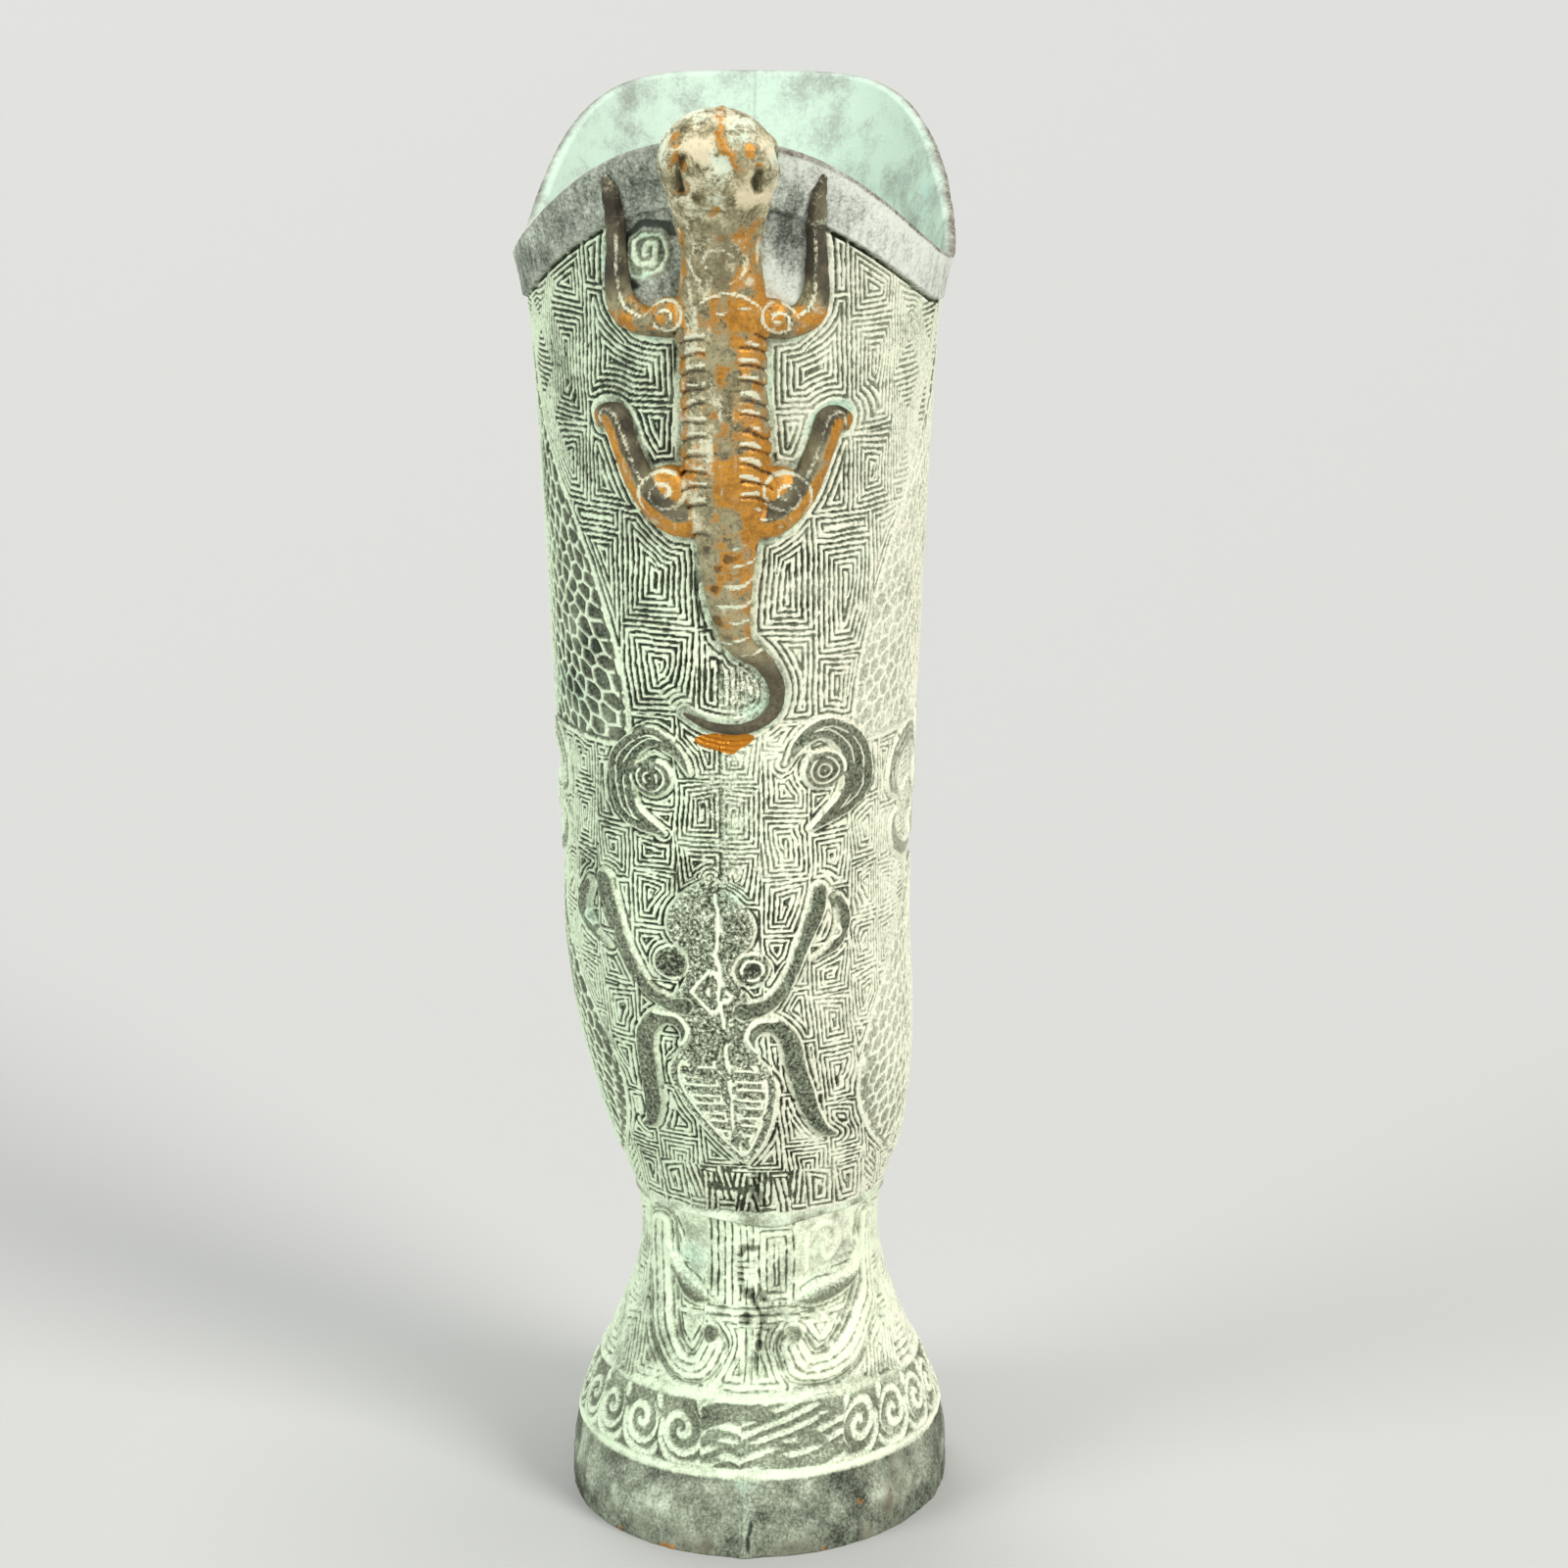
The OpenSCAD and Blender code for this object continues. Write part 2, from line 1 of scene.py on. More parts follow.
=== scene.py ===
import bpy
import math
import numpy as np
from functools import partial, reduce
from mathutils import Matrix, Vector


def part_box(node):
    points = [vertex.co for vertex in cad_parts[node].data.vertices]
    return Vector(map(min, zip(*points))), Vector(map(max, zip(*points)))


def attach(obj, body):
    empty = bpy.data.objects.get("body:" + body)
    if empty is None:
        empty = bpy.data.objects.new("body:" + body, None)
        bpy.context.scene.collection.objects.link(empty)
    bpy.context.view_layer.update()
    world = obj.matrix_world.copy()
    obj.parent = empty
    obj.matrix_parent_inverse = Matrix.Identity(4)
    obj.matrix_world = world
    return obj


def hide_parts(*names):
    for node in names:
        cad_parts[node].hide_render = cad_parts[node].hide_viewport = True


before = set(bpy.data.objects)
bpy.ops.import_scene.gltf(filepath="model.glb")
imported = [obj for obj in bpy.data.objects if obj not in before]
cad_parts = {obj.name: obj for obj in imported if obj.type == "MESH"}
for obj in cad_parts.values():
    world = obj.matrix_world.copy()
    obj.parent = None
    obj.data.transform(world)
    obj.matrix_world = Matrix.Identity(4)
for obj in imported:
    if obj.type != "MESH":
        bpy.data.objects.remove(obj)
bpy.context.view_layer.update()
scene = bpy.context.scene

# Sizes in millimetres, the same as the construction's
vessel = dict(rimLow=226, frontRise=25, backRise=25.5, mouth=(76.4, 118), belly=(61.6, 80), joint=(45.2, 51),
              waist=(43.2, 49), foot=(68.4, 97.8), jointZ=56, waistDrop=8, footSet=4, wall=3, lip=1.8,
              thinning=16, rimBand=7.5, bandStep=.5, ledge=2.5, ledgeT=4, midY=3.88927, gap=.36,
              widthCurve=(3.1, .68, 12, 1, 4), depthCurve=(2.4, .5, 3.6, 1.35, 0))
rimLow, jointZ, midY, groove = (vessel[key] for key in ("rimLow", "jointZ", "midY", "gap"))
waistZ = jointZ - vessel["waistDrop"]
bellyZ = jointZ + .375 * (rimLow - jointZ)
liftZ = jointZ + .64 * (rimLow - jointZ)
bandZ = rimLow - vessel["rimBand"]


def mixed(a, b, t):
    return a + (b - a) * t


def ease(t):
    t = np.clip(t, 0, 1)
    return t * t * (3 - 2 * t)


def ramp(value, start, end):
    return ease((value - start) / (end - start))


# One between two heights, with a soft start and end
def span(value, start, full, fall, end):
    return ramp(value, start, full) * (1 - ramp(value, fall, end))


# A soft spot about a middle
def spot(value, middle, width):
    return np.exp(-((value - middle) / width) ** 2)


def wrap(value):
    return value - np.round(value)


# Signed distance to the nearest of equally spaced lines
def spaced(value, pitch):
    return wrap(value / pitch) * pitch


# From 0 to 1 and back, one at whole numbers
def waves(value):
    return .5 + .5 * np.cos(2 * math.pi * value)


def least(*fields):
    return reduce(np.minimum, fields)


def most(*fields):
    return reduce(np.maximum, fields)


# Smooth random values from -1 to 1 at points in space
def noise(points, size, seed, stretch=(1, 1, 1)):
    q = points * np.array(stretch) / size + seed * 17.31
    base = np.floor(q).astype(np.int64)
    f = q - base
    f = f * f * (3 - 2 * f)
    total = 0
    for corner in range(8):
        bits = np.array([corner & 1, corner >> 1 & 1, corner >> 2 & 1])
        k = base + bits
        key = (k[..., 0] * 73856093) ^ (k[..., 1] * 19349663) ^ (k[..., 2] * 83492791) ^ (seed * 2654435)
        key = (key ^ (key >> 13)) * 1274126177 & 0x7fffffff
        key = (key ^ (key >> 11)) * 668265263 & 0x7fffffff
        total += np.prod(np.where(bits, f, 1 - f), axis=-1) * (key / 0x3fffffff - 1)
    return total


# Half width, half depth, corner fullness and axis of the plan at each height
def profile(h):
    h = np.asarray(h, float)
    down = np.clip((h - jointZ) / (bellyZ - jointZ), 0, 1)
    up = np.clip((h - bellyZ) / (rimLow - bellyZ), 0, 2)
    neck = np.clip((h - waistZ) / vessel["waistDrop"], 0, 1)
    levels, halves = ("joint", "waist", "foot", "belly", "mouth"), []
    for k, curve in enumerate(("widthCurve", "depthCurve")):
        fall, even, turn, slow, toe = vessel[curve]
        joint, waist, foot, belly, mouth = (vessel[level][k] / 2 for level in levels)
        flare = np.clip((waistZ - h) / (waistZ - toe), 0, 1)
        low = np.where(h > waistZ, mixed(waist, joint, neck ** 2), mixed(waist, foot, ease(flare ** slow)))
        high = np.where(h < bellyZ, mixed(joint, belly, 1 - (1 - down) ** fall),
                        mixed(belly, mouth, even * up ** 1.1 + (1 - even) * up ** turn))
        halves.append(np.where(h < jointZ, low, high))
    return (*halves, 2 + .4 * np.clip((h - jointZ) / 60, 0, 1),
            vessel["footSet"] * (1 - ease((h - jointZ) / 55)))


# The saddle rim: heights above liftZ stretch up towards both ends
def trueZ(h, f):
    climb = np.where(f < 0, vessel["frontRise"] * np.abs(f) ** 2.3, vessel["backRise"] * ease(f))
    return h + climb * np.clip((h - liftZ) / (rimLow - liftZ), 0, None)


def seamZ(h):
    return np.where(h > rimLow, h + vessel["frontRise"], trueZ(least(h, rimLow), -1))


def bodyWall(h):
    return mixed(vessel["wall"], vessel["lip"], ease((h - rimLow + vessel["thinning"]) / vessel["thinning"]))


def footWall(h):
    return vessel["wall"] + vessel["ledge"] * (h > jointZ - vessel["ledgeT"] - .1)


# A point of the front end, x across, at a height and a distance out from the wall
def frontPoint(x, h, out):
    w, d, n, axis = profile(h)
    f = (1 - np.clip(np.abs(x) / w, 0, 1) ** n) ** (1 / n)
    return np.stack([axis + x * (w + out) / w, midY - (d + out) * f, trueZ(h, -f)], -1)


# A curve through the given points, with whatever other columns they carry
def smoothPath(points, steps=4):
    p = np.array(points, float)
    q = np.vstack([2 * p[0] - p[1], p, 2 * p[-1] - p[-2]])
    t = np.linspace(0, 1, steps, endpoint=False)[:, None]
    rows = [b + .5 * t * (c - a + t * (2 * a - 5 * b + 4 * c - d + t * (3 * b - a - 3 * c + d)))
            for a, b, c, d in zip(q, q[1:], q[2:], q[3:])]
    return np.vstack(rows + [p[-1:]])


# Distance to a stroke's edge and middle line, and its half width there; far off it stays at 60
def strokeParts(x, z, points):
    path = smoothPath(points)
    best, dist, half = (np.full(np.shape(x), v) for v in (60.0, 60.0, 0.0))
    low, high = path[:, :2].min(axis=0) - 16, path[:, :2].max(axis=0) + 16
    near = (x > low[0]) & (x < high[0]) & (z > low[1]) & (z < high[1])
    px, pz = x[near], z[near]
    b, m, r = best[near], dist[near], half[near]
    for (ax, az, ar), (bx, bz, br) in zip(path, path[1:]):
        ux, uz = bx - ax, bz - az
        t = np.clip(((px - ax) * ux + (pz - az) * uz) / (ux * ux + uz * uz + 1e-9), 0, 1)
        gap, wide = np.hypot(px - ax - ux * t, pz - az - uz * t), ar + (br - ar) * t
        nearer = gap - wide < b
        b, m, r = np.where(nearer, gap - wide, b), np.where(nearer, gap, m), np.where(nearer, wide, r)
    best[near], dist[near], half[near] = b, m, r
    return best, dist, half


def stroke(x, z, points):
    return strokeParts(x, z, points)[0]


def disc(x, z, cx, cz, r):
    return np.hypot(x - cx, z - cz) - r


# A thin line where the value is near zero, one at its middle
def line(value, width):
    return 1 - ease(np.abs(value) / width)


# The turns of a spiral about a centre
def spiral(x, z, cx, cz, pitch, reach):
    r = np.hypot(x - cx, z - cz)
    turn = r / pitch + np.arctan2(z - cz, x - cx) / (2 * math.pi)
    return line(wrap(turn) * pitch, pitch * .36) * (r < reach)


# Square thunder spirals: lines run parallel to the nearest edge and step in by one at each cell's side
def thunder(across, up, edge, colEdges, rowEdges, pitch, stagger=(0,)):
    colEdges, rowEdges = np.array(colEdges), np.array(rowEdges)
    i = np.clip(np.searchsorted(colEdges, across) - 1, 0, len(colEdges) - 2)
    up = up + np.take(stagger, i % len(stagger))
    j = np.clip(np.searchsorted(rowEdges, up) - 1, 0, len(rowEdges) - 2)
    c0, c1, r0, r1 = colEdges[i], colEdges[i + 1], rowEdges[j], rowEdges[j + 1]
    d = least(np.abs(across - c0), np.abs(across - c1), np.abs(up - r0), np.abs(up - r1), most(edge, 0))
    u, v = (across - (c0 + c1) / 2) / (c1 - c0), (up - (r0 + r1) / 2) / (r1 - r0)
    angle = np.arctan2(v, u * np.where(i % 2, -1, 1))
    start = np.where((i + j) % 2, 0, math.pi / 2)
    step = np.clip(wrap((angle - start) / (2 * math.pi)) * 4 + .5, 0, 1)
    return waves(d / pitch + step)


# Cosine and sine of an oval with full corners
def oval(a, n):
    c, s = np.cos(a), np.sin(a)
    return np.sign(c) * np.abs(c) ** (2 / n), np.sign(s) * np.abs(s) ** (2 / n)


# One half casting's outer grid, with steps that are finer at the front
def shellGrid(side, heights, columns):
    h = heights[:, None]
    w, d, n, axis = profile(h)
    edge = np.arccos((groove / w) ** (n / 2))
    t, m = np.linspace(-1, 1, 4000), len(heights) // 2
    c, s = oval(edge[m] * t, n[m])
    dense = mixed(1.2, .82, ramp(s[1:], .05, .35))
    run = np.concatenate([[0], np.cumsum(np.hypot(np.diff(w[m] * c), np.diff(d[m] * s)) * dense)])
    c, s = oval(edge * np.interp(np.linspace(0, run[-1], columns), run, t), n)
    x, y = side * w * c, d * s
    arc = np.cumsum(np.hypot(*(np.diff(v, axis=1, prepend=v[:, :1]) for v in (x, y))), axis=1)
    return dict(side=side, h=h + 0 * x, w=w, d=d, c=c, s=s, axis=axis, x=x, y=y, z=trueZ(h, s),
                arc=groove + least(arc, arc[:, -1:] - arc), front=s < 0)


# How far each spot of a relief lies below the mean of its surroundings; the tones use it for painted shade in
# the hollows and painted highlights on the highs
def hollows(out, cells):
    mean, wide = out, 2 * cells + 1
    for axis in (0, 0, 1, 1):
        size = mean.shape[axis]
        first, last = np.take(mean, [0] * (cells + 1), axis), np.take(mean, [-1] * cells, axis)
        total = np.cumsum(np.concatenate([first, mean, last], axis), axis)
        mean = (np.take(total, range(wide, wide + size), axis) - np.take(total, range(size), axis)) / wide
    return mean - out


# Points of some rows of a grid, at a distance out from the wall
def placed(g, out, rows=slice(None), rise=0):
    return np.stack([g["axis"][rows] + g["side"] * (g["w"][rows] + out) * g["c"][rows],
                     midY + (g["d"][rows] + out) * g["s"][rows], g["z"][rows] + rise], -1)


# A piece from points in millimetres with their attributes; the last faces, its caps, stay flat
def meshOf(name, verts, faces, attributes, uv=None, caps=0):
    mesh = bpy.data.meshes.new(name)
    mesh.from_pydata((np.asarray(verts) * .001).tolist(), [], faces)
    for key, values in attributes.items():
        layer = mesh.attributes.new(key, "FLOAT", "POINT")
        layer.data.foreach_set("value", np.ascontiguousarray(values, dtype=np.float32).ravel())
    if uv is not None:
        layer = mesh.uv_layers.new(name="OFBake")
        corner = np.empty(len(mesh.loops), dtype=np.int32)
        mesh.loops.foreach_get("vertex_index", corner)
        layer.data.foreach_set("uv", np.ascontiguousarray(uv[corner], dtype=np.float32).ravel())
    mesh.polygons.foreach_set("use_smooth", np.arange(len(faces)) < len(faces) - caps)
    mesh.update()
    piece = bpy.data.objects.new(name, mesh)
    scene.collection.objects.link(piece)
    return piece


def gridFaces(rows, columns, closedRows=False, closedColumns=False):
    r = np.arange(rows if closedRows else rows - 1)[:, None]
    c = np.arange(columns if closedColumns else columns - 1)[None]
    r1, c1 = (r + 1) % rows, (c + 1) % columns
    corners = [a * columns + b for a, b in ((r, c), (r, c1), (r1, c1), (r1, c))]
    return np.stack(np.broadcast_arrays(*corners), -1).reshape(-1, 4)


def dress(piece, node, material):
    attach(piece, "root")
    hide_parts(node)
    piece.data.materials.append(material)


# Shader nodes: a socket that can be used in sums
class Wire:
    def __init__(self, tree, socket=None):
        self.tree, self.socket = tree, socket

    def node(self, kind, settings=None, inputs=None, output=0):
        made = self.tree.nodes.new("ShaderNode" + kind)
        for key, value in (settings or {}).items():
            setattr(made, key, value)
        for key, value in (inputs or {}).items():
            if isinstance(value, Wire):
                self.tree.links.new(value.socket, made.inputs[key])
            else:
                made.inputs[key].default_value = value
        return Wire(self.tree, made.outputs[output] if made.outputs else None)

    def math(self, operation, a, b, clamp=False):
        return self.node("Math", {"operation": operation, "use_clamp": clamp}, {0: a, 1: b})

    def __add__(self, other):
        return self.math("ADD", self, other)

    def __sub__(self, other):
        return self.math("SUBTRACT", self, other)

    def __rsub__(self, other):
        return self.math("SUBTRACT", other, self)

    def __mul__(self, other):
        return self.math("MULTIPLY", self, other)

    def clamp(self):
        return self.math("ADD", self, 0.0, True)

    def between(self, low, high):
        return self.node("MapRange", {"interpolation_type": "SMOOTHSTEP"}, {0: self, 1: low, 2: high})

    def blend(self, a, b):
        return self.node("Mix", {"data_type": "RGBA"}, {0: self, 6: a, 7: b}, 2)

    __radd__, __rmul__ = __add__, __mul__


def paint(code):
    parts = [int(code[k:k + 2], 16) / 255 for k in (0, 2, 4)]
    return [*(v / 12.92 if v < .04045 else ((v + .055) / 1.055) ** 2.4 for v in parts), 1]


# A material in the making: vertex values and clouds to mix, then one shader with a fine bump
class Looks:
    def __init__(self, name):
        self.material = bpy.data.materials.new(name)
        self.material.use_nodes = True
        tree = self.material.node_tree
        tree.nodes.clear()
        self.wire = Wire(tree)
        self.place = self.wire.node("TexCoord", output=3)

    def values(self, *names):
        return (self.wire.node("Attribute", {"attribute_name": name}, output=2) for name in names)

    def cloud(self, scale, detail=4.0, roughness=.6):
        return self.wire.node("TexNoise", {}, {"Vector": self.place, "Scale": scale, "Detail": detail,
                                               "Roughness": roughness})

    def finish(self, color, rough, metal, height, strength):
        bump = self.wire.node("Bump", {}, {"Strength": strength, "Distance": .0004, "Height": height})
        shader = self.wire.node("BsdfPrincipled", {}, {"Base Color": color, "Roughness": rough,
                                                       "Metallic": metal, "Normal": bump})
        self.wire.node("OutputMaterial", {}, {"Surface": shader})
        return self.material


# Verdigris bronze of the castings: one tone from dark cuts to pale lines, which also carries painted shade
# and painted highlights, with grain and tints
bronzeLook = dict(dark=paint("1f2717"), mid=paint("848c74"), cream=paint("efefd8"), green=paint("e0efd0"),
                  mint=paint("b6e0c8"), brown=paint("5b4a36"), bare=paint("c98428"), coolDark=paint("434a41"),
                  coolPale=paint("dfe5da"), inside=paint("c5dac8"), insideGrey=paint("949a90"),
                  turquoise=paint("9fdcd6"), matt=.8, shine=.35, bump=.3)


def bronzeMaterial(name, b):
    look = Looks(name)
    tone, grain, mint, lush, cool = look.values("tone", "grain", "mint", "lush", "cool")
    brown, bare, inside = look.values("brown", "bare", "inside")
    large, middle, fine = look.cloud(26.0), look.cloud(160.0), look.cloud(1700.0, 2.0, .75)
    t = tone + (fine - .5) * grain * 2.2 + (middle - .5) * .35 + (large - .5) * .2
    pale = (lush + (large - .5) * .9 + (middle - .5) * .5).between(.2, .8).blend(b["cream"], b["green"])
    pale = (mint + (middle - .5) * .7).between(.2, .95).blend(pale, b["mint"])
    color = (t * 2.0).clamp().blend(b["dark"], b["mid"])
    color = (t * 2.0 - 1.0).clamp().blend(color, pale)
    color = cool.blend(color, t.between(.05, .95).blend(b["coolDark"], b["coolPale"]))
    color = (brown + (fine - .5) * .8 + (middle - .5) * .8).between(.35, .95).blend(color, b["brown"])
    metal = (bare + (fine - .5) * .5).between(.4, .6)
    color = metal.blend(color, b["bare"])
    cloudy = (large * .6 + middle * .7 + fine * .3).between(.66, 1.0)
    wall = cloudy.blend(b["inside"], b["insideGrey"])
    wall = (large - middle * .45).between(.3, .5).blend(wall, b["turquoise"])
    color = inside.blend(color, wall)
    return look.finish(color, b["matt"] - metal * b["shine"], metal * .8, fine * .6 + middle * .5, b["bump"])


# The dragon's worn metal: orange-gold on the highs, tan and brown below, verdigris in the cuts, black for
# dark patina and for painted shade in the sockets, the pit and under the ribs
dragonLook = dict(gold=paint("d99a3a"), orange=paint("a3722c"), brown=paint("433b20"), black=paint("2a231a"),
                  tan=paint("a59d78"), pale=paint("e2e3c6"), mint=paint("c9d8c2"), bone=paint("d6caa8"),
                  matt=.78, shine=.28, bump=.4)


def dragonMaterial(name, b):
    look = Looks(name)
    wear, cut, dark, bone = look.values("wear", "cut", "dark", "bone")
    large, middle, fine = look.cloud(40.0), look.cloud(340.0), look.cloud(1500.0, 2.0, .75)
    metal = (middle * .6 + fine * .5).between(.4, .7).blend(b["gold"], b["orange"])
    base = (large * .3 + middle * .6 + fine * .5).between(.46, .84).blend(b["brown"], b["tan"])
    bare = (wear + (middle - .5) * 1.3 + (fine - .5) * .9).between(.32, .66)
    color = bare.blend(base, metal)
    # Black: the dragon's dark patina, and painted shade in the sockets, the pit and under the ribs
    color = (dark + (fine - .5) * .6).between(.2, .9).blend(color, b["black"])
    pale = (large * .5 + middle * .5).between(.42, .6).blend(b["pale"], b["mint"])
    pale = (bone + (middle - .5) * 1.2).between(.2, .8).blend(pale, b["bone"])
    cover = (cut + (middle - .5) * .9 + (fine - .5) * 1.0).between(.3, .78)
    color = cover.blend(color, pale)
    shine = bare * (1 - cover)
    return look.finish(color, b["matt"] - shine * b["shine"], shine * .55, fine * .8 + middle * .6, b["bump"])


bronze = bronzeMaterial("bronze", bronzeLook)
braze = bronzeMaterial("braze", {**bronzeLook, "mid": paint("8d957d"), "cream": paint("e6eed8")})
dragonBronze = dragonMaterial("dragonBronze", dragonLook)
print("materials made")

# The dragon's limbs: across from its own middle line, height, half width.
# Mirrors give each limb's sides and how far out it reaches there; the discs end in their spirals' pitch.
# The head is height, half width, middle and half depth; what sits on it is middle, then half sizes.
# Arcs of the neck: middle, height, bend, width, reach, depth.
dragon = dict(
    shift=1.0, lift=.6, flat=.72, legLift=.5, legFlat=.9, ribPitch=2.9, ribRows=(181, 184, 222, 226),
    ringPitch=3.3, ringStart=158, ringRows=(160, 163, 180, 184), neckCoil=(-.4, 231.5, 5.6), coilPitch=2.1,
    neckArcs=[(1, 226, .1, .6, 5, 1), (.4, 222.6, .12, .5, 4, .8)],
    headFrom=(237, 241), neckFrom=(223, 228), tailFrom=(181, 186), legSplit=208, elbow=206,
    trunk=[(0, 220, 5.8), (0, 213, 6), (0, 206.5, 7.4), (0, 196, 7.2), (.4, 187, 7.4), (.4, 179.4, 5.6),
           (.4, 171, 4), (1.8, 164.6, 2.5), (6, 160.8, 1.7), (8.4, 156, 1.35), (7.4, 151.2, 1.15),
           (2.4, 148.6, .95), (-3.2, 149.2, .8), (-7.2, 151.2, .35)],
    frontLeg=[(2, 204.6, 3.2), (7, 204.8, 3.1), (13, 205, 2.5), (17.2, 207.6, 2.15), (18.2, 213, 1.8),
              (18, 218.6, 1.45), (18.6, 222, 1.15), (19.6, 224.6, .4)],
    hindLeg=[(2, 180.6, 3.2), (8.6, 179.8, 3), (14.4, 183.6, 2.4), (18, 189.6, 2.05), (19.8, 193.4, 2.1),
             (22, 194.6, 1.6), (22.8, 193, .5)],
    mirrors=dict(trunk=(1,), frontLeg=(.86, -.97), hindLeg=(.88, -.93)),
    shoulder=(8.8, 205.2, 3.5, 1.75), hip=(9.4, 183.4, 4.6, 2.2),
    head=[(206, 5, .6, 3.9), (210, 5.6, .9, 4.3), (213.5, 6.2, 1.2, 4.8), (217, 7.2, 1.7, 5.3),
          (220, 8.2, 2.1, 5.7), (222.6, 8.8, 2.3, 6), (224.8, 9.1, 2.4, 6), (227.2, 8.7, 2.1, 5.6),
          (229.6, 7.1, 1.5, 4.8), (231.2, 4.7, .9, 3.4), (232, 2.1, .3, 1.6)],
    headShade=[(0, 240, 6), (0, 244, 8), (0, 256, 9.3)],
    brow=(5.2, 248.4, 5.6, 1.3, 1.5, .9), bridge=(0, 246, 6.6, 1.1, 2.6, .75),
    pit=(-2.6, 242.4, 7.4, 1.1, 1.2, 1.6),
    crown=[(.4, 257, .7), (.6, 252, .9), (2, 249.6, .8), (2.8, 247, .5)],
    eyes=[[(-4.9, 249.6, .8), (-5.5, 247, 1), (-5.2, 243.8, .7)],
          [(5.6, 247.2, 1), (5.1, 245.4, 1.1), (5.2, 243.8, .5)]],
    wear=[(163, .1), (170, .3), (178, .34), (184, .46), (190, .66), (196, .68), (200, .3), (206, .1),
          (212, .14), (218, .3), (223, .42), (228, .16), (236, .05)],
    flecks=[(-5.6, 252.6, 1.5), (4.6, 251, 1.5), (-1, 240.4, 1.2), (5.6, 248.6, 1)])

# The frog and mask of the body: across, height, half width; the skin as height, half width
frog = dict(
    shift=-2.2, slip=.9, firstRib=69.6, ribPitch=3.6, bellyTop=88,
    skin=[(67.6, .4), (69.8, 2.4), (72.7, 4.6), (76.6, 6.8), (80.6, 8.4), (84.5, 9.2), (87, 8.6), (89.6, 6.6),
          (92, 5.6), (94.6, 5.8), (97.6, 7), (100.3, 6.6), (103, 4.9), (106, 4), (108.4, 4.6), (109.8, 6.4),
          (111.6, 7.3), (113.8, 7.5), (116, 6.8), (118.4, 4.9), (120.4, 2.6), (121.8, .3)],
    eye=(7, 105.9, 2.8), nose=(.3, 100.8, 3.1, 4), bead=(20.6, 112, 1.3),
    arm=[(5, 98, 1.7), (8.4, 98.8, 1.4), (12.2, 102, 1.2), (15.8, 110, 1.2), (18.2, 116.6, 1.5),
         (18.8, 119.8, 1.3)],
    lobe=[(18.2, 107.4, .4), (21.2, 109.6, .9), (22.8, 113.8, 1.1), (21.6, 118, .8)],
    leg=[(6.4, 90.4, .6), (5.6, 93, 1.1), (7.2, 95.4, 1.3), (10.2, 95.6, 1.5), (12.6, 92.4, 1.7),
         (13, 86, 1.8), (13.6, 79, 1.7), (14.8, 74.6, 1.2), (16.6, 73.2, .5)],
    hook=[(10.6, 96.6, .1), (7, 96.2, .1), (5.2, 93.4, .1), (6.6, 90.8, .1), (8.2, 92, .1)])
mask = dict(
    shift=2.6, slip=-1.4, half=28, coilPitch=1.15, irisPitch=1.3,
    horn=[(8.4, 140.6, .4), (11, 144.8, 1.3), (15.4, 146.6, 2), (19.8, 142, 2.4), (19.4, 133.6, 2.2),
          (13, 129, .6)],
    coil=(14.7, 139.2, 3.5), iris=(9.2, 130.4, 3.4), nostril=(2.9, 122.9, 2),
    lids=[(3.4, 127.8, .3), (9.2, 130.4, 3.2), (15.6, 132.4, .3)],
    curl=[(4.2, 136.6, .5), (7.6, 140.4, 1.7), (13.6, 142.4, 2.3), (19.6, 140, 2.4), (21.4, 135, 1.9),
          (18.6, 132.2, .6)],
    nose=[(0, 143.4, .4), (0, 139.6, 2), (0, 136, .9), (0, 129, 1.3), (0, 124, 2.6)],
    jaw=[(6.6, 121.4, .4), (12, 121, 1.3), (17.4, 123, 1.6), (20, 127, 1.2), (18.4, 129.2, .4)])

# The ground between the figures: depths, cell edges from the seam and up, patches as across, height, size
ground = dict(
    depth=.46, warp=.34, relief=.75, sideRelief=.4, panel=.35, thread=.3, slip=1.1, scale=2.9, border=1.0,
    high=dict(colEdges=(-1, 7.6, 25.6, 38, 51, 64, 77, 90), rowEdges=(187, 205.5, 225.5, 262), pitch=1.04,
              stagger=(0, 0, 4.6, -3.8, 5.2, -3, 4, 0)),
    tail=dict(colEdges=(-1, 4.4, 18.2, 31, 44, 57, 70, 83), rowEdges=(150.5, 166.5, 187), pitch=1.04,
              stagger=(0, 0, 4.6, -3.8, 5.2, -3, 4, 0)),
    low=dict(colEdges=(-1, 8.2, 17, 25.4, 34, 43, 52, 61, 70, 79), pitch=.88,
             rowEdges=(66.4, 77, 87.5, 97.6, 107.6, 117.4, 127.6, 139, 150.5),
             stagger=(0, 5.4, -2.4, 4, -4.6, 2.8, -3.4, 5)),
    band=dict(colEdges=tuple(np.arange(-1, 90, 6.3)), rowEdges=(57.8, 66.4), pitch=1.15),
    combStep=2.9, combReach=11.6, combLean=(.22, -.12, .08, -.2), combMiddle=62,
    bladeLow=bellyZ + 24.6, bladeStart=147, bladeRise=61, bladeEdge=(17, 25), bladeSweep=44,
    dropLow=jointZ + 5, dropHigh=bellyZ - 1.8, dropHalf=26, smearRows=(117, 123, 140, 147),
    plainHalf=16.5, plainLow=(206, 207.5), pad=(-11.4, 213.4), dent=(11, 215.5), bareStrip=(.6, 146.1),
    inHook=(3.4, 155, 4.6), frogTone=(.46, .54), eyeTone=.12, faceTone=(.42, .64), hornTone=(.14, .24),
    rimTone=(.38, .76),
    mintSpots=[(-27, 152, 6), (6, 152, 4), (-24, 112, 4), (0, 118, 4)])


# Each limb's path over the front, at the heights that a function gives
def dragonLimbs(lifted):
    limbs = [(k, dragon[key]) for key, mirrors in dragon["mirrors"].items() for k in mirrors]
    return [[(k * px, lifted(dragon["shift"] + k * px, ph), pr) for px, ph, pr in path] for k, path in limbs]


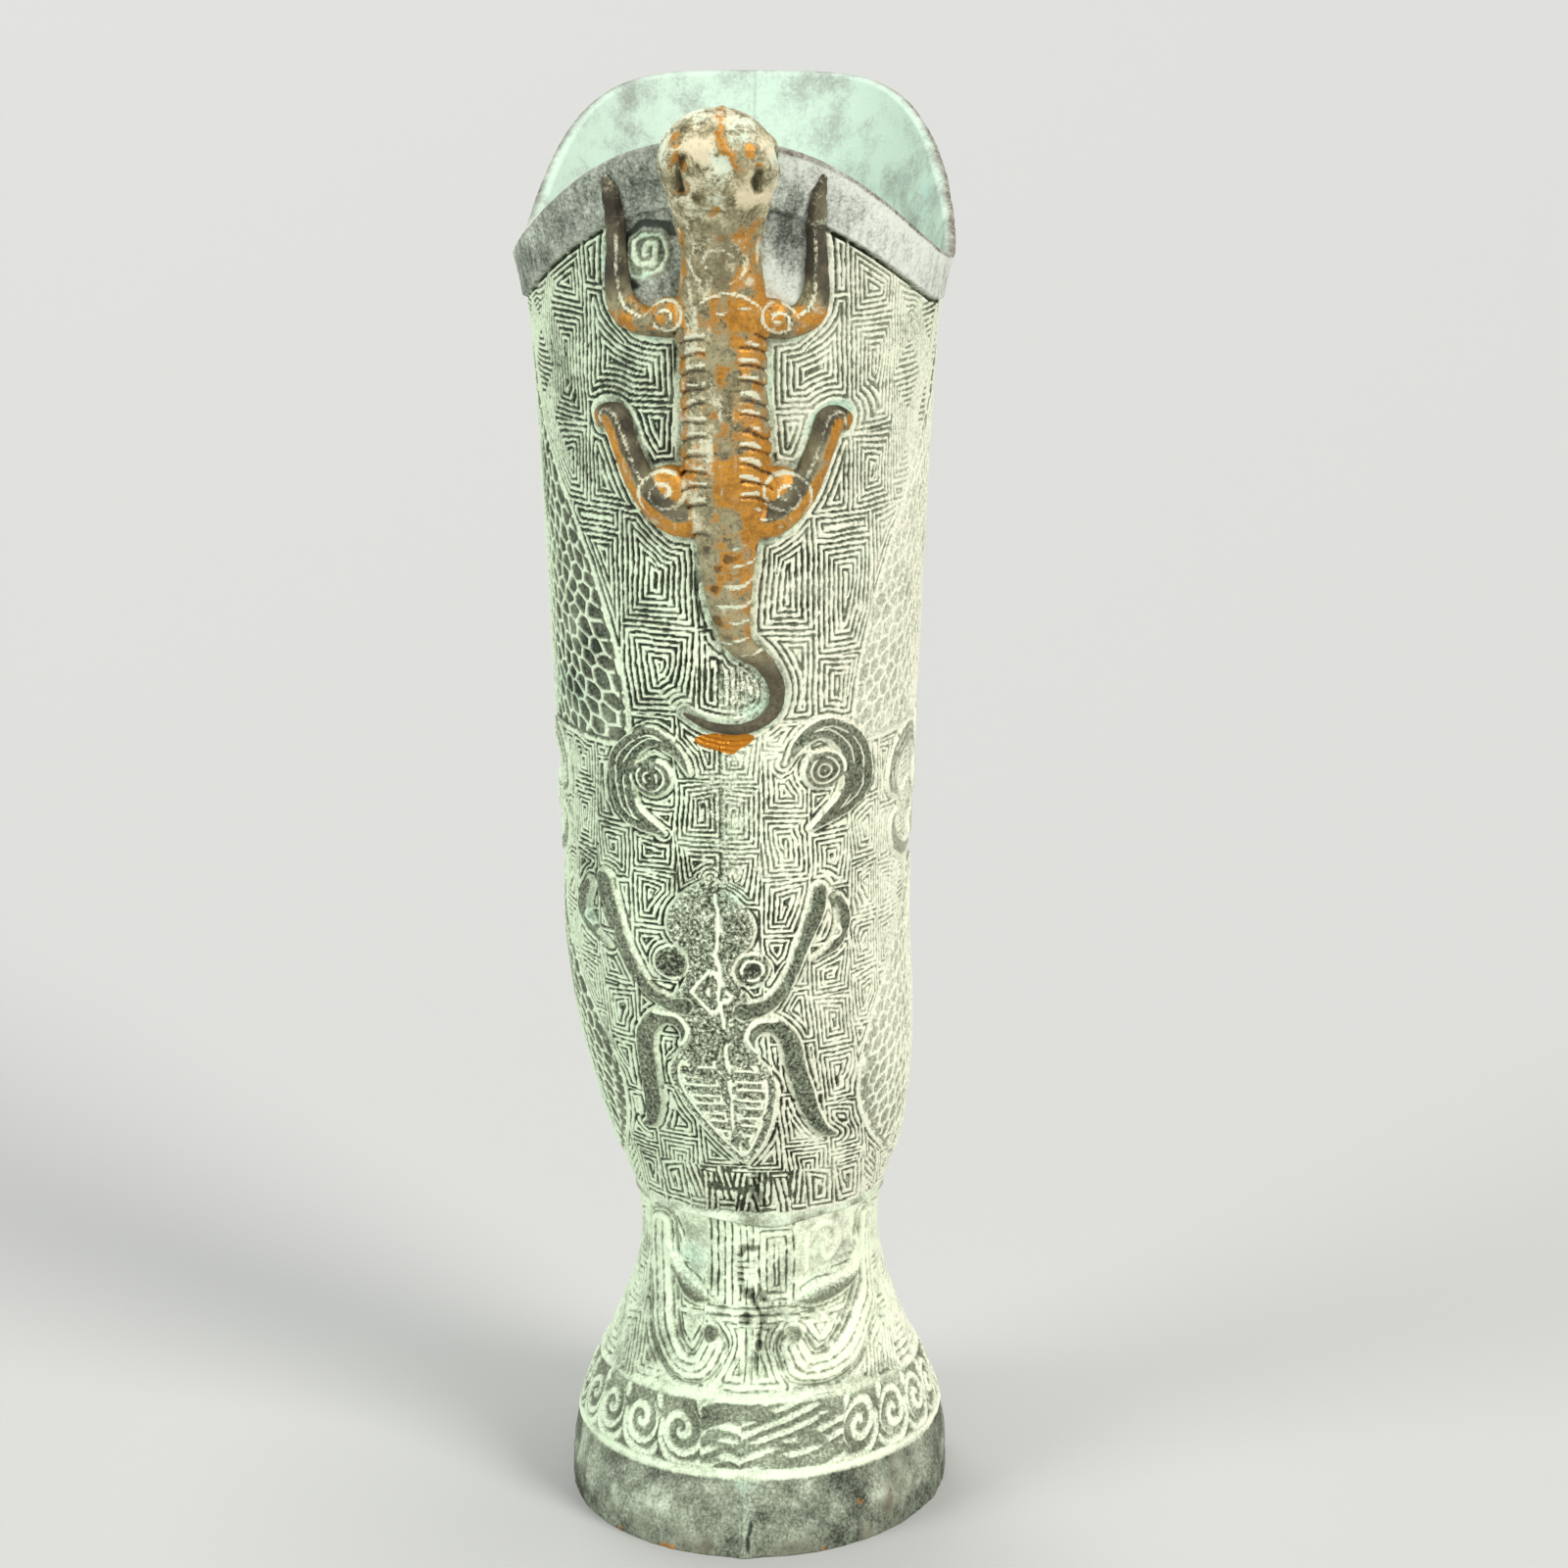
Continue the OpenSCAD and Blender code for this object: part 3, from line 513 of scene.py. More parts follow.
def dragonOutline(x, z):
    def lifted(px, ph):
        return float(frontPoint(px, ph, 0)[2])
    across = x - dragon["shift"]
    best = least(*(stroke(across, z, path) for path in (*dragonLimbs(lifted), dragon["headShade"])))
    for px, ph, *sizes in (dragon["shoulder"], dragon["hip"]):
        best = least(best, disc(np.abs(across), z, px, lifted(px, ph), sizes[0]))
    return best


# Irregular scales: how much farther the second nearest scattered point is than the nearest
def scaleEdges(u, v):
    first, second = np.full(np.shape(u), 9.0), np.full(np.shape(u), 9.0)
    for du in (-1, 0, 1):
        for dv in (-1, 0, 1):
            i, j = np.floor(u) + du, np.floor(v) + dv
            key = np.sin(i * 127.1 + j * 311.7) * 437.5
            a, b = key - np.floor(key), key * 7.13 - np.floor(key * 7.13)
            gap = np.hypot(i + .25 + .5 * (j % 2) + .55 * (a - .5) - u, j + .5 + .55 * (b - .5) - v)
            first, second = least(first, gap), least(second, most(first, gap))
    return second - first


# The frog of the two ends: distance to its skin, eye and limbs, and the threads raised on it
def frogArt(points, wx, wz, right):
    fh = wz + frog["slip"] * right
    p = np.abs(wx - frog["shift"] * mixed(.3, 1, ramp(fh, 67, 88)))
    table = smoothPath(frog["skin"], 3)
    half = np.interp(fh, table[:, 0], table[:, 1])
    beyond = most(fh - table[-1, 0], table[0, 0] - fh)
    skin = np.where(beyond > 0, np.hypot(p, beyond), (p - half) * .8)
    eye = disc(p, fh, *frog["eye"])
    limbs = least(*(stroke(p, fh, frog[key]) for key in ("arm", "lobe", "leg")))

    inner = most(np.abs(spaced(fh - frog["firstRib"], frog["ribPitch"])) - .75, 1.1 - p, p - half + 2.6)
    belly = line(p - half + .1, .8) + line(p - half + 1.9, .6) + line(inner, .6) * (fh > 70.5)
    spine = line(wx + .9 + .7 * noise(points, 2.6, 28), .75) * (skin < -.6) * (fh > 69) * (fh < 119)
    ring = eye + frog["eye"][2]
    rings = line(ring - 3.1, mixed(.65, .8, right)) + right * line(ring - 1.8, .55)
    noseX, noseZ, noseWide, noseTall = frog["nose"]
    nose = np.abs(p - noseX) / noseWide + np.abs(fh - noseZ) / noseTall
    thread = belly * (fh < frog["bellyTop"]) * (p < half + .6) + spine + rings
    thread += line(nose - 1, .3) + .9 * line(nose - .1, .34) + .7 * line(limbs + .12, .38)
    thread += line(stroke(p, fh, frog["hook"]), .5) + line(disc(p, fh, *frog["bead"]), .4)
    return skin, eye, limbs, thread


# The mask: distance to the horns of the ends and to the face of the broad sides, and the threads
def maskArt(y, q, wx, wz, right):
    hx, hz = np.abs(wx - mask["shift"]), wz + mask["slip"] * right
    horn, coil = stroke(hx, hz, mask["horn"]), disc(hx, hz, *mask["coil"])
    curl, nose, jaw, lids = (stroke(q, wz, mask[key]) for key in ("curl", "nose", "jaw", "lids"))
    nostril, iris = disc(q, wz, *mask["nostril"]), disc(q, wz, *mask["iris"])
    eye = least(iris, lids)
    face = np.where(np.abs(y) < mask["half"], least(curl, eye, nose, nostril, jaw), 60)
    thread = line(wrap((coil + mask["coil"][2]) / mask["coilPitch"]), .34) * (coil < .2)
    thread += line(wrap((iris + mask["iris"][2]) / mask["irisPitch"]), .32) * (eye < -.3)
    thread += line(horn + .1, .34) + line(horn + 1.7, .28) * (horn < -1) + line(face + .1, .4)
    thread += line(curl + 1.5, .34) * (curl < -.9) + line(nostril + 1.2, .4)
    return least(horn, coil), face, thread


# The lowest band: squares and bars, with combs of leaning bars beside the front seam
def bottomBand(points, cols, rows, front):
    band, step = ground["band"], ground["combStep"]
    low, high = band["rowEdges"]
    squares = thunder(cols, rows, np.full(cols.shape, 9.0), **band)
    bars = np.where(np.abs(wrap((cols + 1) / 6.3)) < .25, cols, (cols + rows) * .7)
    near, cell = front & (cols < ground["combReach"]), np.floor(cols / step)
    lean = np.choose(cell.astype(int) % 4, ground["combLean"])
    bars = np.where(near, cols + lean * (rows - ground["combMiddle"]), bars)
    comb = np.where(cell % 2 > 0, rows - low, high - rows)
    bars = np.where(near & (comb < 1.4), comb + .3, bars)
    inBars = near | (np.floor((cols + 1) / 6.3) % 3 == 1)
    breaks = ramp(noise(points, 2.2, 48), .1, .4) * near
    return np.where(inBars, waves(bars / band["pitch"]), squares) - .6 * breaks


# The worn square pad at the upper left of the front: where it is, its lines and its shade
def rimPad(points, x, h, ragged):
    px, ph = x - ground["pad"][0], (h - ground["pad"][1]) * 1.25
    gap = (most(np.abs(px), np.abs(ph)) + np.hypot(px, ph)) * .5 + .55 * noise(points, 2.2, 31)
    turns = waves(gap / 1.5 + np.arctan2(ph, px) / (2 * math.pi))
    shade = line(gap - 4.6, .9) * ramp(most(ph, -px), 1, 3)
    return ramp(-gap, -4, -3.1), mixed(.7, ramp(turns + ragged, .1, .7), .6), shade


def bodyRelief(g, points):
    x, y, z, h, arc, front = (g[key] for key in ("x", "y", "z", "h", "arc", "front"))
    right, grit = float(g["side"] > 0), partial(noise, points)
    shake = [grit(6, k) * ground["warp"] + grit(1.3, k + 2) * .08 for k in (1, 2)]
    wx, wz, q = x + shake[0], z + shake[1], np.abs(y) + shake[0]
    cols, rows = arc + shake[0] + right * 1.4, wz + ground["slip"] * right

    # figures of the two ends and the broad sides
    skin, frogEye, limbs, frogThread = frogArt(points, wx, wz, right)
    horns, face, maskThread = maskArt(y, q, wx, wz, right)
    frogAll = least(skin, frogEye, limbs)
    figure = least(frogAll, face, horns)
    thread = np.clip(frogThread + maskThread, 0, 1) * (figure < .5) * ramp(grit(1.7, 29), -.75, -.35)
    lizard = np.where(front, dragonOutline(x, z), 60)

    # panels of the broad sides: blades above, drops below
    t = np.clip((h - ground["bladeStart"]) / ground["bladeRise"], 0, 1.2)
    blade = (mixed(*ground["bladeEdge"], right) + ground["bladeSweep"] * t * t - arc - shake[0]) * .9
    blade = most(blade, ground["bladeLow"] - h)
    low, high = ground["dropLow"], ground["dropHigh"]
    t = np.clip((h - low) / (high - low), 0, 1)
    drop = (q - .3 - ground["dropHalf"] * np.sin(math.pi * t ** .8) ** .75) * .9
    drop = most(drop, low - h, h - high)

    # thunder spirals in three zones over the bottom band, worn along the dragon
    zones = [ground[key] for key in ("high", "tail", "low")]
    floors, rimEdge = [zone["rowEdges"][0] for zone in zones], bandZ - h
    edge = least(figure - .2, lizard - ground["border"], blade - .3, drop - .3, rimEdge * 1.2,
                 *(np.abs(rows - level) for level in floors[:2]))
    spirals = [thunder(cols, rows, edge, **zone) for zone in zones]
    wave = np.select([rows > level for level in floors], spirals, bottomBand(points, cols, rows, front))
    ragged = .42 * grit(.8, 7) + .2 * grit(2.6, 26)
    cutEdge = mixed(.14, .26, ramp(h, 140, 190)) - .04 * right
    ridge = ramp(wave + ragged, cutEdge, cutEdge + .44)
    border = front * (1 - ramp(lizard + .6 * grit(2, 27), ground["border"] - .5, ground["border"] + .2))
    ridge = mixed(ridge, .7 + .35 * grit(1.1, 35), border * .9)

    # scales of the panels, the rim band and its pad
    scales = 1 - ramp(scaleEdges((y + shake[0]) / ground["scale"], (wz + .3 * q) / ground["scale"]), .06, .3)
    inPanel, inFigure = ramp(-least(blade, drop), .1, .7), ramp(-figure, -.12, .4)
    frames = np.clip(line(blade - .1, .55) + line(drop - .1, .55), 0, 1)
    ridge = mixed(ridge, scales, inPanel) * (1 - line(blade + .9, .45)) * (1 - line(drop + 1.1, .6))
    ridge = most(ridge, frames)
    bandTop = ramp(-rimEdge, -.15, .15)
    plain = front * (np.abs(x - 1) < ground["plainHalf"]) * ramp(h, *ground["plainLow"])
    padTop, padLines, padShade = rimPad(points, x, h, ragged)
    padTop, padShade = padTop * front * (1 - right), padShade * front * (1 - right)
    dent = spot(x, ground["dent"][0], 4) * spot(h, ground["dent"][1], 4.5) * front * right
    ridge = mixed(mixed(ridge, .7, most(plain, bandTop)), padLines, padTop)

    # height of it all
    cloud, spots = grit(16, 10), grit(5, 30)
    smear = spot(x, 0, 4.8) * span(z, *ground["smearRows"]) * front
    fade = 1 - right * mixed(.4 * ramp(arc, 18, 42), .14, ramp(arc, 50, 66))
    fade = fade * (1 - .35 * ramp(spots, .15, .7)) * (1 - .4 * smear)
    out = -ground["depth"] * fade * (1 - ridge) * (1 - most(inFigure, bandTop))
    out += np.where(face < .6, ground["sideRelief"], ground["relief"]) * inFigure
    out += ground["panel"] * inPanel * (1 - inFigure)
    # The band's step: a groove under it, which the tones also darken as a painted shadow line
    step = line(rimEdge - .35, .55) * mixed(.5, 1, right)
    out += vessel["bandStep"] * bandTop - .5 * step * (1 - plain * .7)
    out += ground["thread"] * thread + .55 * padTop - .6 * dent - .4 * padShade
    rough = most(inFigure * (1 - thread), most(bandTop, plain) * .6)
    out += .12 * grit(.75, 5) * (.3 + rough) + .14 * grit(6, 6) + .12 * smear * grit(1.2, 9)

    # tones: pale lines over dark cuts, grainy dark figures, grey rim band, painted shade in the hollows with
    # painted highlights on the highs, a painted shadow line under the band's step
    paintedShading, forward = np.clip(hollows(out, 4), -.4, .4), ramp(-y, -8, 24)
    softer = mixed(mixed(.36, .18, forward), .5 * forward, right) * inPanel
    contrast = fade * (1 - .25 * cloud) + mixed(.04, -.2, right * (1 - ramp(arc, 48, 64)))
    contrast = np.clip(contrast, .3, 1.15) * mixed(.8, 1, front) * (1 - softer)
    contrast = contrast * (1 - .2 * (rows < floors[2]))
    tone = 1 - contrast * (1 - ridge) - .22 * ramp(grit(8, 32), .1, .7) * (1 - .6 * right)
    frogTone = mixed(*ground["frogTone"], ramp(x, 0, 20)) - .22 * (limbs < .1)
    figureTone = np.select([(frogEye < 0) & (skin > -.5), frogAll < .5, face < .5],
                           [ground["eyeTone"], frogTone, mixed(*ground["faceTone"], right)],
                           mixed(*ground["hornTone"], right))
    tone = most(mixed(tone, figureTone + .12 * cloud, inFigure), thread * 1.1)
    shade, rimPart = np.where(front, right, ramp(x, -26, 26)), most(bandTop, plain * (1 - padTop))
    rimTone = mixed(*ground["rimTone"], shade) + .14 * cloud + .16 * spots + .12 * ramp(h, rimLow - 4, rimLow)
    tone = mixed(tone, rimTone, rimPart)
    # Darker along the front seam and towards the bottom of the body
    lowSeamDark = .7 * ramp(spot(x, 1.5, 1.3) + .6 * grit(.9, 34), .4, .8) * (1 - ramp(z, 64, 68))
    lowSeamDark = front * (lowSeamDark + .14 * spot(x, 0, 9) * (1 - ramp(z, 65, 67)))
    tone -= .2 * smear + mixed(.8, .5, right) * step * (1 - plain) + .3 * dent + .7 * padShade + .6 * lowSeamDark
    hookX, hookH, hookWide = ground["inHook"]
    inHook = front * np.exp(-(np.hypot(x - hookX, h - hookH) / hookWide) ** 4)
    tone = mixed(tone, .72 + .35 * grit(1.1, 46), .85 * inHook)
    # Painted shade in the hollows and painted highlights on the highs of the relief
    tone = tone - mixed(.2, .55, inFigure) * paintedShading * (1 - .7 * (limbs < .2))
    tone += .16 * grit(.9, 36, (1, 1, .35)) * most(bandTop, plain)
    onSkin = inFigure * (frogAll < .3) * (limbs > .2)
    grain = .5 + (.4 * inFigure + .55 * onSkin) * (1 - thread) + .5 * smear + .7 * inHook

    # tints: mint patches, a cool rim, brown figures and edge, the bare strip under the tail
    mint = .3 * ramp(grit(14, 8), .2, .7) + .35 * border
    for mintX, mintH, size in ground["mintSpots"]:
        mint = most(mint, .6 * front * spot(np.hypot(x - mintX, h - mintH), 0, size))
    mint = most(mint, .25 * padTop, .6 * plain * ramp(grit(5, 12), 0, .5))
    lush = mixed(.75, .25, ramp(x, -20, 20)) + .25 * border
    brown = inFigure * (1 - onSkin) * (.2 + .3 * right * ramp(x, 10, 18))
    brown += bandTop * ramp(h, rimLow - .9, rimLow) * mixed(.5, .75, shade)
    bareX, bareH = ground["bareStrip"]
    bareEdge = np.abs(h - bareH - .03 * x * x) - 1.7 + .045 * (x - bareX) ** 2
    bareEdge = most(np.abs(x - bareX) - 5.2, bareEdge) + .8 * grit(1.6, 25)
    return dict(out=out, tone=tone, grain=grain, mint=mint, lush=lush, cool=rimPart * mixed(.6, .85, shade),
                brown=brown, bare=front * ramp(-bareEdge, -.2, .3) * .9)


# The foot's figures: across, height, half width; link and tear lie about each running scroll's middle
footArt = dict(
    bandTop=24.0, bandLow=13.0, depth=.42, spiralStep=8.3, reach=2.6, spread=3.0, lean=3.2,
    firstCurl=(12.4, 22), backCurl=17, curlPitch=2.6, curlReach=3.8, box=(.7, 8.2, 39.2, 53.4),
    uprights=(2.6, 8.4), barRows=(35.4, 36, 38.6, 39.4), pitRows=(26, 30, 48, 53), mintSpot=(-11, 47),
    bareSpot=(21, 7),
    scroll=[(16.4, 52, .5), (16.2, 40, .5), (15.4, 32.4, .5), (12.4, 28.4, .5), (9, 28.6, .5), (7, 32, .5)],
    knob=(7.4, 34, 1.5), crescent=[(15, 48, .3), (13.4, 43.6, 1.2), (10.8, 40.6, 1.8), (7.6, 39.6, .4)],
    comma=[(9.6, 44.8, .4), (9.8, 49.6, .6), (11.6, 53, .7), (14.4, 52.4, .7), (14.8, 48.6, .7),
           (13.2, 46.4, .6), (12.2, 49, .4)],
    link=[(3.7, .8, .5), (3.5, -2, .6), (1.4, -4.2, .6), (-2.2, -4.5, .6), (-4.2, -2.6, .4)],
    tear=[(-3.6, 2.6, .2), (-3.7, 3.8, .8), (-3.2, 4.6, .4)],
    fill=dict(colEdges=(-1, 8.4, 25, 34, 43, 52, 61, 70, 79), rowEdges=(24.6, 37, 45.5, 57), pitch=1.15,
              stagger=(0, 0, 3, -2)))


# The running scrolls of the foot's band, drawn out beside the seam
def runningScrolls(g, points, wx, wz, shake, ragged):
    side, arc, pitch = g["side"], g["arc"], footArt["curlPitch"]
    first = np.where(g["front"], footArt["firstCurl"][int(side > 0)], footArt["backCurl"])
    middle = (footArt["bandTop"] + footArt["bandLow"]) / 2
    room = arc.max(axis=1, keepdims=True) - first
    turns = np.floor(room[np.argmin(np.abs(g["h"][:, 0] - middle))] / footArt["spiralStep"]) + .5
    u, v = wrap((arc + shake - first) * turns / room) * footArt["spiralStep"], wz - middle
    r = np.hypot(u, v - .3)
    turn = wrap(r / pitch - side * np.arctan2(v - .3, u) / (2 * math.pi)) * pitch
    curl = ramp(1 - np.abs(turn) / .78 + .25 * ragged, 0, .5) * (r < footArt["curlReach"])
    link, tear = ramp(-stroke(u, v, footArt["link"]), -.3, .3), ramp(-stroke(u, v, footArt["tear"]), -.2, .3)
    drawn = np.where(g["x"] > -1, (wz - .3 * wx) / 1.9, (wz + .12 * wx + 1.2 * np.sin(wx * .5)) / 2.3)
    drawn = ramp(1 - np.abs(wrap(drawn)) / .36 + .3 * ragged, 0, .5)
    drawn = drawn * ramp(noise(points, 1.6, 17, (.3, 1, 1)), -.35, 0)
    return np.where(arc < first - 3.9, drawn, np.clip(curl + link + tear, 0, 1))


def footRelief(g, points):
    x, z, h, arc, front = (g[key] for key in ("x", "z", "h", "arc", "front"))
    right, grit = float(g["side"] > 0), partial(noise, points)
    shake = [grit(7, k) * .35 + grit(1.4, k + 2) * .1 for k in (11, 12)]
    wx, wz = x + shake[0], z + shake[1]
    p = np.abs(wx)
    p = p - right * footArt["spread"] * ramp(p, 6, 20)
    p = p - right * footArt["lean"] * ramp(h, 31, 50) * ramp(p, 9, 15)
    p = most(p, arc - 4.6 - 4 * right + shake[0])
    ragged = .3 * grit(.8, 14) + .15 * grit(2.4, 23)

    # hooked scrolls of parallel lines, boat crescents, upright lines beside the seam
    reach = footArt["reach"]
    scroll = stroke(p, wz, footArt["scroll"]) + .5
    boat, knob = stroke(p, wz, footArt["crescent"]), disc(p, wz, *footArt["knob"])
    raised = least(boat, knob)
    swell, inScroll = ramp(-scroll, -reach - .2, -.8), ramp(-scroll, -reach - .1, -reach + .2)
    near, far = footArt["uprights"]
    upright = (p > near) * (p < far) * ramp(wz, *footArt["barRows"][2:]) * (boat > .4)
    bars = (p < far) * span(wz, *footArt["barRows"]) * (raised > .4)
    boxLeft, boxRight, boxLow, boxHigh = footArt["box"]
    box = least(wx - boxLeft, boxRight - wx, wz - boxLow, boxHigh - wz)
    edge = least(np.abs(scroll - reach), most(raised, 0))
    fill = thunder(arc + shake[0] + right * .6, wz, edge, **footArt["fill"])
    quiet = ramp(edge, 1.2, 2.2) * (p > 5) * (p < 17) * (1 - .8 * right * (wz < 39))
    wave = np.select([bars > .5, front & (box > 0), upright > .5],
                     [waves(wz / 1.35), waves(box / 1.35), waves((p - .4) / 1.3)], mixed(fill, 1, quiet))
    wave = mixed(wave, waves(scroll / 1.3), inScroll)
    ridge = ramp(wave + .8 * ragged, -.04, .3)
    # A broken groove along the scroll band's edge, which the tones also darken as a painted shade line
    scrollEdgeGrooveShade = line(scroll - reach, .45) * (raised > .2) * ramp(grit(2.6, 24), -.7, -.3)
    inRaised = ramp(-raised, -.1, .6)
    rise = most(ramp(-boat, -.3, 1.7), .5 * ramp(-knob, -.3, 1.3))
    comma = front * ramp(-stroke(wx, wz, footArt["comma"]), -.2, .35)

    # the band between its two lines, broken pits and a crease along the front seam
    running = runningScrolls(g, points, wx, wz, shake[0], ragged)
    bandLow, bandTop, upOnly = footArt["bandLow"], footArt["bandTop"], (0, 0, 1)
    inBand = span(h, bandLow + .5, bandLow + 1, bandTop - 1, bandTop - .5)
    lines = np.clip(line(wz - bandTop, .8) + line(wz - bandLow, .8), 0, 1)
    low, above = 1 - ramp(h, bandLow - 1, bandLow - .5), ramp(h, bandTop - .4, bandTop + .4)
    pits = spot(x, .2, 2.3) * ramp(grit(1.3, 65, (1.2, 1, .6)), .08, .4)
    crack = line(x - 1.4 - .9 * grit(2.2, 61, upOnly) - .3 * grit(.9, 13), .6) * ramp(grit(3, 62), -.4, .1)
    pits = most(pits, .7 * crack) * front * span(h, *footArt["pitRows"])
    crease = front * line(x - .8 - .5 * grit(2.5, 67, upOnly), .55) * low * span(h, .4, 2, 5, 8)
    fine = grit(1.3, 16)
    out = -footArt["depth"] * most(1 - ridge, scrollEdgeGrooveShade) * above * (1 - inRaised) + .45 * (lines - pits)
    out += (1.1 * swell + 1.2 * rise + .6 * comma) * above + .6 * running * inBand - .4 * crease
    out += (.1 + .6 * front) * spot(x, 0, 1.9) * low + .2 * grit(7, 15) + .1 * fine * (.5 + low)

    # tones of the scrolls, boats, band and plain skirt, with painted shade in the hollows and along the
    # scroll band's edge, painted highlights on the highs, and the boats painted light above and shaded below
    cloud, patch = grit(12, 20), grit(4.5, 21)
    # Painted shade in the hollows and painted highlights on the highs, and a wider painted soft shade about
    # the raised scrolls and boats
    paintedShading, paintedSoftShade = np.clip(hollows(out, 4), -.15, .5), np.clip(hollows(out, 14), -.4, .8)
    tone = 1 - mixed(.42, .34, right) * (1 - ridge) * above - .16 * ramp(cloud, 0, .6) + .06 * comma
    tone += .14 * fine - .1 * quiet * (1 + patch) - .3 * scrollEdgeGrooveShade - .12 * ramp(patch, .1, .6)
    tone -= .24 * paintedShading + .14 * paintedSoftShade
    # Boats and knob: painted light on their upper part, painted shade on their lower part
    tone = mixed(tone, mixed(.9, .25, ramp(wz - .6 * (p - 11), 43, 40.5)) + .2 * right, inRaised)
    tone = mixed(tone, .48 + .2 * patch + .14 * cloud + .42 * running - .3 * paintedShading, inBand)
    lowTone = .43 + .2 * cloud + .22 * patch + .14 * grit(1.9, 27) - .14 * (1 - ramp(h, 1.5, 7)) - .6 * paintedShading
    tone = mixed(tone, lowTone, low)
    tone = most(tone, lines * .95 * (1 - .45 * ramp(patch, .1, .6))) - .7 * pits - .36 * crease
    grain = .4 + .1 * low + .2 * inRaised + .2 * inBand
    (mintX, mintH), (bareX, bareH) = footArt["mintSpot"], footArt["bareSpot"]
    mint = .3 * ramp(grit(12, 18), .2, .7) + .6 * front * spot(x, mintX, 4) * spot(h, mintH, 4)
    mint = most(mint, front * spot(x, 0, 3.6) * low * .9)
    brown = .16 + .3 * ramp(cloud, -.1, .5) * ramp(x, -24, 16)
    brown = low * (brown + .34 * ramp(patch, -.1, .4) * (1 - .5 * ramp(h, 1, 8)))
    bare = .5 * (1 - ramp(h, .5, 2.4)) * ramp(grit(2.2, 22), .3, .7)
    bare += .5 * front * spot(x, bareX, 4) * spot(h, bareH, 1.6) * ramp(grit(1.3, 68), .1, .4)
    lush = mixed(.9, .4, ramp(x, -16, 26))
    return dict(out=out, tone=tone, grain=grain, mint=mint, lush=lush, cool=.2 * low, brown=brown, bare=bare)


edges = {}  # each half's relief, for the seams that carry it across


# A half casting as one closed shell: outer wall with its relief, lip, smooth inner wall
def castHalf(name, side, heights, columns, relief, thickness, lipSteps, every):
    g = shellGrid(side, heights, columns)
    r = relief(g, placed(g, 0))
    edges[name] = r
    last = len(heights) - 1
    keep = np.append(np.arange(0, last, every), last)
    layers, inside = [placed(g, r["out"])], [np.zeros(len(heights))]
    for t in lipSteps:
        rise = .75 * math.sin(math.pi * t) ** .7
        layers.append(placed(g, r["out"][-1:] * (1 - t) - t * vessel["lip"], slice(-1, None), rise))
        layers[-1][:, [0, -1], 0] = g["axis"][-1:]
        inside.append([t])
    inner = placed(g, -thickness(heights[keep])[:, None], keep)
    inner[:, [0, -1], 0] = g["axis"][keep]
    wobble = .2 * noise(inner, 13, 21)
    inner[:, 1:-1, 0] += wobble[:, 1:-1]
    inner[..., 1] += wobble
    layers.append(inner[::-1])
    inside.append(np.ones(len(keep)))
    verts = np.vstack([layer.reshape(-1, 3) for layer in layers])
    rows = len(verts) // columns
    attributes = {key: np.concatenate([value, np.repeat(value[-1:], rows - len(heights), 0)])
                  for key, value in r.items() if key != "out"}
    attributes["inside"] = np.repeat(ramp(np.concatenate(inside), .2, .9), columns)
    quads = gridFaces(rows, columns, closedRows=True)
    faces = (quads if side > 0 else quads[:, ::-1]).tolist()
    rims = [[*range(a, b + 1), rows - 2 - k, rows - 1 - k] for k, (a, b) in enumerate(zip(keep, keep[1:]))]
    if lipSteps:
        rims.append(range(last, rows - len(keep) + 1))
    for col in (0, columns - 1):
        turn = 1 if (col == 0) != (side > 0) else -1
        faces += [[row * columns + col for row in rim][::turn] for rim in rims]
    row, column = np.divmod(np.arange(len(verts)), columns)
    uv = .01 + .98 * np.stack([column / columns, row / rows], -1)
    return meshOf(name, verts, faces, attributes, uv, len(faces) - len(quads))


bodyHeights = np.concatenate([np.arange(jointZ, liftZ, .225), np.linspace(liftZ, rimLow, 310)])
footHeights = np.linspace(0, jointZ, 215)
lipRound = (.12, .35, .65, .88)
for side, word in ((-1, "left"), (1, "right")):
    piece = castHalf("bodyShell_" + word, side, bodyHeights, 560, bodyRelief, bodyWall, lipRound, 8)
    dress(piece, "body_" + word, bronze)
    piece = castHalf("footShell_" + word, side, footHeights, 420, footRelief, footWall, (), 6)
    dress(piece, "foot_" + word, bronze)
    print("half castings,", word)


